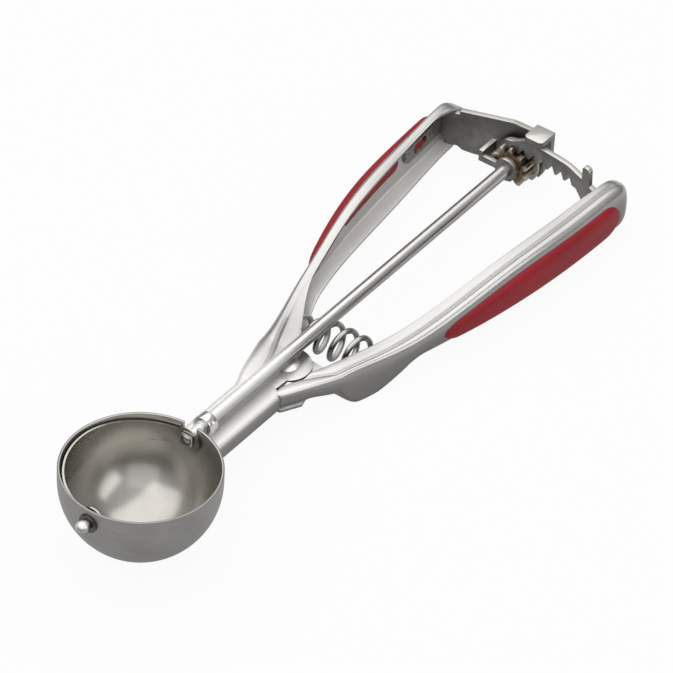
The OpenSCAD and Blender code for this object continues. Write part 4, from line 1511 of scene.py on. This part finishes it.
class SCOOP_OT_spring(bpy.types.Operator):
    """Winds the return spring between the handles"""

    bl_idname = "scoop.spring"
    bl_label = "Return spring"

    turns = 7.5
    closed = 0.8
    slow = 0.28

    def wound(self, n):
        """Share of the length reached after n turns: the end turns are wound close."""
        whole = self.turns - 2 * self.closed
        total = whole + 2 * self.closed * self.slow
        if n < self.closed:
            return n * self.slow / total
        if n > self.turns - self.closed:
            return 1 - (self.turns - n) * self.slow / total
        return (self.closed * self.slow + n - self.closed) / total

    def execute(self, context):
        size = sizes()
        left, right = Channel(LEFT), Channel(RIGHT)
        x = left.along(0.186)
        z = -size.rod_d / 2 - 0.35 - size.spring_d / 2
        lean = 0.45 * size.spring_end_d / 2 + size.wire_d / 2 + size.sheet
        first, last = -right.back(x) + lean, left.back(x) - lean
        points = []
        steps = 36
        for k in range(int(self.turns * steps) + 1):
            n = k / steps
            y = mixed(first, last, self.wound(n))
            swell = ramp((-0.5, 6), y + right.lip(x)) * ramp((0.5, 6), left.lip(x - 3) - y)
            radius = (mixed(size.spring_end_d, size.spring_d, swell) - size.wire_d) / 2
            points.append((x + radius * math.cos(TURN * n), y, z + radius * math.sin(TURN * n)))
        obj = primitive(bpy.ops.curve.primitive_bezier_curve_add, "spring_dressed")
        curve = obj.data
        curve.splines.clear()
        wire = curve.splines.new("POLY")
        wire.points.add(len(points) - 1)
        for point, place in zip(wire.points, points):
            point.co = (*place, 1.0)
        curve.bevel_depth = size.wire_d / 2
        curve.bevel_resolution = 5
        curve.use_fill_caps = True
        activate(obj)
        bpy.ops.object.convert(target="MESH")
        obj = bpy.context.active_object
        merged(obj)
        rounded(obj, 0.15, 2, 60)
        # Painted shade: faces of the wire that turn sideways or down at half its colour.
        coil = brushed("spring_steel", finishes().spring, 0.22, (0.0005, 0.0005, 0.0005), side=0.5)
        dressed(obj, "spring", coil, 60)
        low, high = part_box("spring")
        high.y
        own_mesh(obj)
        return done()


# ----- Stage, lights and camera -----
class SCOOP_OT_stage(bpy.types.Operator):
    """Sets the pale table, the soft lights and the camera"""

    bl_idname = "scoop.stage"
    bl_label = "Stage"

    view = (-55.81, 40.24, 3.12)
    target = (90.55, -6.77, 0)
    away = 1500.0
    focal = 257.23
    lamp_aim = (0.1, 0, 0)
    floor_seen = 0.94
    floor_mirrored = 0.3
    room_rise = {"From Min": 0.1, "From Max": 0.9, "To Min": 0.15, "To Max": 0.75}

    def floor(self):
        obj = primitive(bpy.ops.mesh.primitive_plane_add, "floor", size=8.0)
        finish = Finish("floor")
        cloud = finish.noise((0.3, 0.3, 0.3), 2.0)
        tint = finish.mixed(cloud, *tones(finishes().floor, 0.995, 1.005))
        diffuse = finish.node("ShaderNodeBsdfDiffuse", None, {"Color": tint})
        white = finish.node("ShaderNodeEmission", None, {"Color": WHITE, "Strength": 1.0})
        path = finish.node("ShaderNodeLightPath")
        eye, through, mirrored = (
            Value(finish, path.outputs[f"Is {kind} Ray"]) for kind in ("Camera", "Transmission", "Glossy")
        )
        seen = (eye + through).at_most(1.0) * self.floor_seen + mirrored * self.floor_mirrored
        ends = {0: seen, 1: diffuse.outputs[0], 2: white.outputs[0]}
        mix = finish.node("ShaderNodeMixShader", None, ends)
        finish.node("ShaderNodeOutputMaterial", None, {0: mix.outputs[0]})
        obj.data.materials.append(finish.material)

    def world(self):
        """White to the camera, and to all else a room that is brighter overhead."""
        world = bpy.context.scene.world or bpy.data.worlds.new("studio")
        bpy.context.scene.world = world
        sky = Nodes(world)
        coords = sky.node("ShaderNodeTexCoord")
        axes = sky.node("ShaderNodeSeparateXYZ", None, {0: coords.outputs["Generated"]})
        rise = {"Value": axes.outputs["Z"], **self.room_rise}
        bright = sky.node("ShaderNodeMapRange", None, rise).outputs[0]
        room = sky.node("ShaderNodeBackground", None, {"Color": WHITE, "Strength": bright})
        white = sky.node("ShaderNodeBackground", None, {"Color": WHITE})
        path = sky.node("ShaderNodeLightPath")
        ends = {0: path.outputs["Is Camera Ray"], 1: room.outputs[0], 2: white.outputs[0]}
        mix = sky.node("ShaderNodeMixShader", None, ends)
        sky.node("ShaderNodeOutputWorld", None, {0: mix.outputs[0]})

    def lamp(self, name, place, width, height, power):
        obj = primitive(bpy.ops.object.light_add, name, type="AREA")
        obj.data.shape = "RECTANGLE"
        obj.data.size, obj.data.size_y = width, height
        obj.data.energy = power
        turn = (Vector(self.lamp_aim) - Vector(place)).to_track_quat("-Z", "Y")
        obj.matrix_world = Matrix.Translation(place) @ turn.to_matrix().to_4x4()

    def camera(self):
        swing, tilt, roll = (math.radians(a) for a in self.view)
        flat = math.cos(tilt)
        back = Vector((math.sin(swing) * flat, -math.cos(swing) * flat, math.sin(tilt)))
        right = Vector((math.cos(swing), math.sin(swing), 0))
        up = back.cross(right)
        across = right * math.cos(roll) + up * math.sin(roll)
        above = up * math.cos(roll) - right * math.sin(roll)
        turn = SEAT.to_quaternion().to_matrix()
        axes = Matrix([turn @ across, turn @ above, turn @ back]).transposed().to_4x4()
        obj = primitive(bpy.ops.object.camera_add, "camera")
        obj.data.sensor_width = 36.0
        obj.data.lens = self.focal
        obj.data.clip_end = 100.0
        eye = SEAT @ (Vector(self.target) + back * self.away)
        obj.matrix_world = Matrix.Translation(eye) @ axes
        bpy.context.scene.camera = obj

    def execute(self, context):
        self.floor()
        self.world()
        self.lamp("overhead", (0.15, 0.3, 1.0), 2.2, 1.5, 12)
        self.lamp("side", (-0.7, -0.5, 0.8), 1.0, 0.8, 1.2)
        self.lamp("front", (0.25, -1.0, 0.55), 0.9, 0.6, 2.5)
        self.camera()
        context.scene.view_settings.view_transform = "Standard"
        return done()


OPERATORS = (
    SCOOP_OT_bowl,
    SCOOP_OT_scraper,
    SCOOP_OT_rod,
    SCOOP_OT_front_bearing,
    SCOOP_OT_front_pin,
    SCOOP_OT_fixed_handle,
    SCOOP_OT_lever,
    SCOOP_OT_grips,
    SCOOP_OT_pivot,
    SCOOP_OT_gear,
    SCOOP_OT_spring,
    SCOOP_OT_stage,
)


class SCOOP_PT_panel(bpy.types.Panel):
    """Lists the scoop's settings and pieces"""

    bl_idname = "SCOOP_PT_panel"
    bl_label = "Ice Cream Scoop"
    bl_space_type = "VIEW_3D"
    bl_region_type = "UI"
    bl_category = "Scoop"

    def draw(self, context):
        layout = self.layout
        for kind in OPERATORS:
            layout.operator(kind.bl_idname)
        for group in (context.scene.scoop_sizes, context.scene.scoop_finishes):
            box = layout.box()
            for key in group.__annotations__:
                box.prop(group, key)


CLASSES = (ScoopSizes, ScoopFinishes, *OPERATORS, SCOOP_PT_panel)


def register():
    for kind in CLASSES:
        bpy.utils.register_class(kind)
    bpy.types.Scene.scoop_sizes = PointerProperty(type=ScoopSizes)
    bpy.types.Scene.scoop_finishes = PointerProperty(type=ScoopFinishes)


def unregister():
    del bpy.types.Scene.scoop_finishes
    del bpy.types.Scene.scoop_sizes
    for kind in reversed(CLASSES):
        bpy.utils.unregister_class(kind)


def main():
    register()
    for kind in OPERATORS:
        group, name = kind.bl_idname.split(".")
        getattr(getattr(bpy.ops, group), name)()


if __name__ == "__main__":
    main()
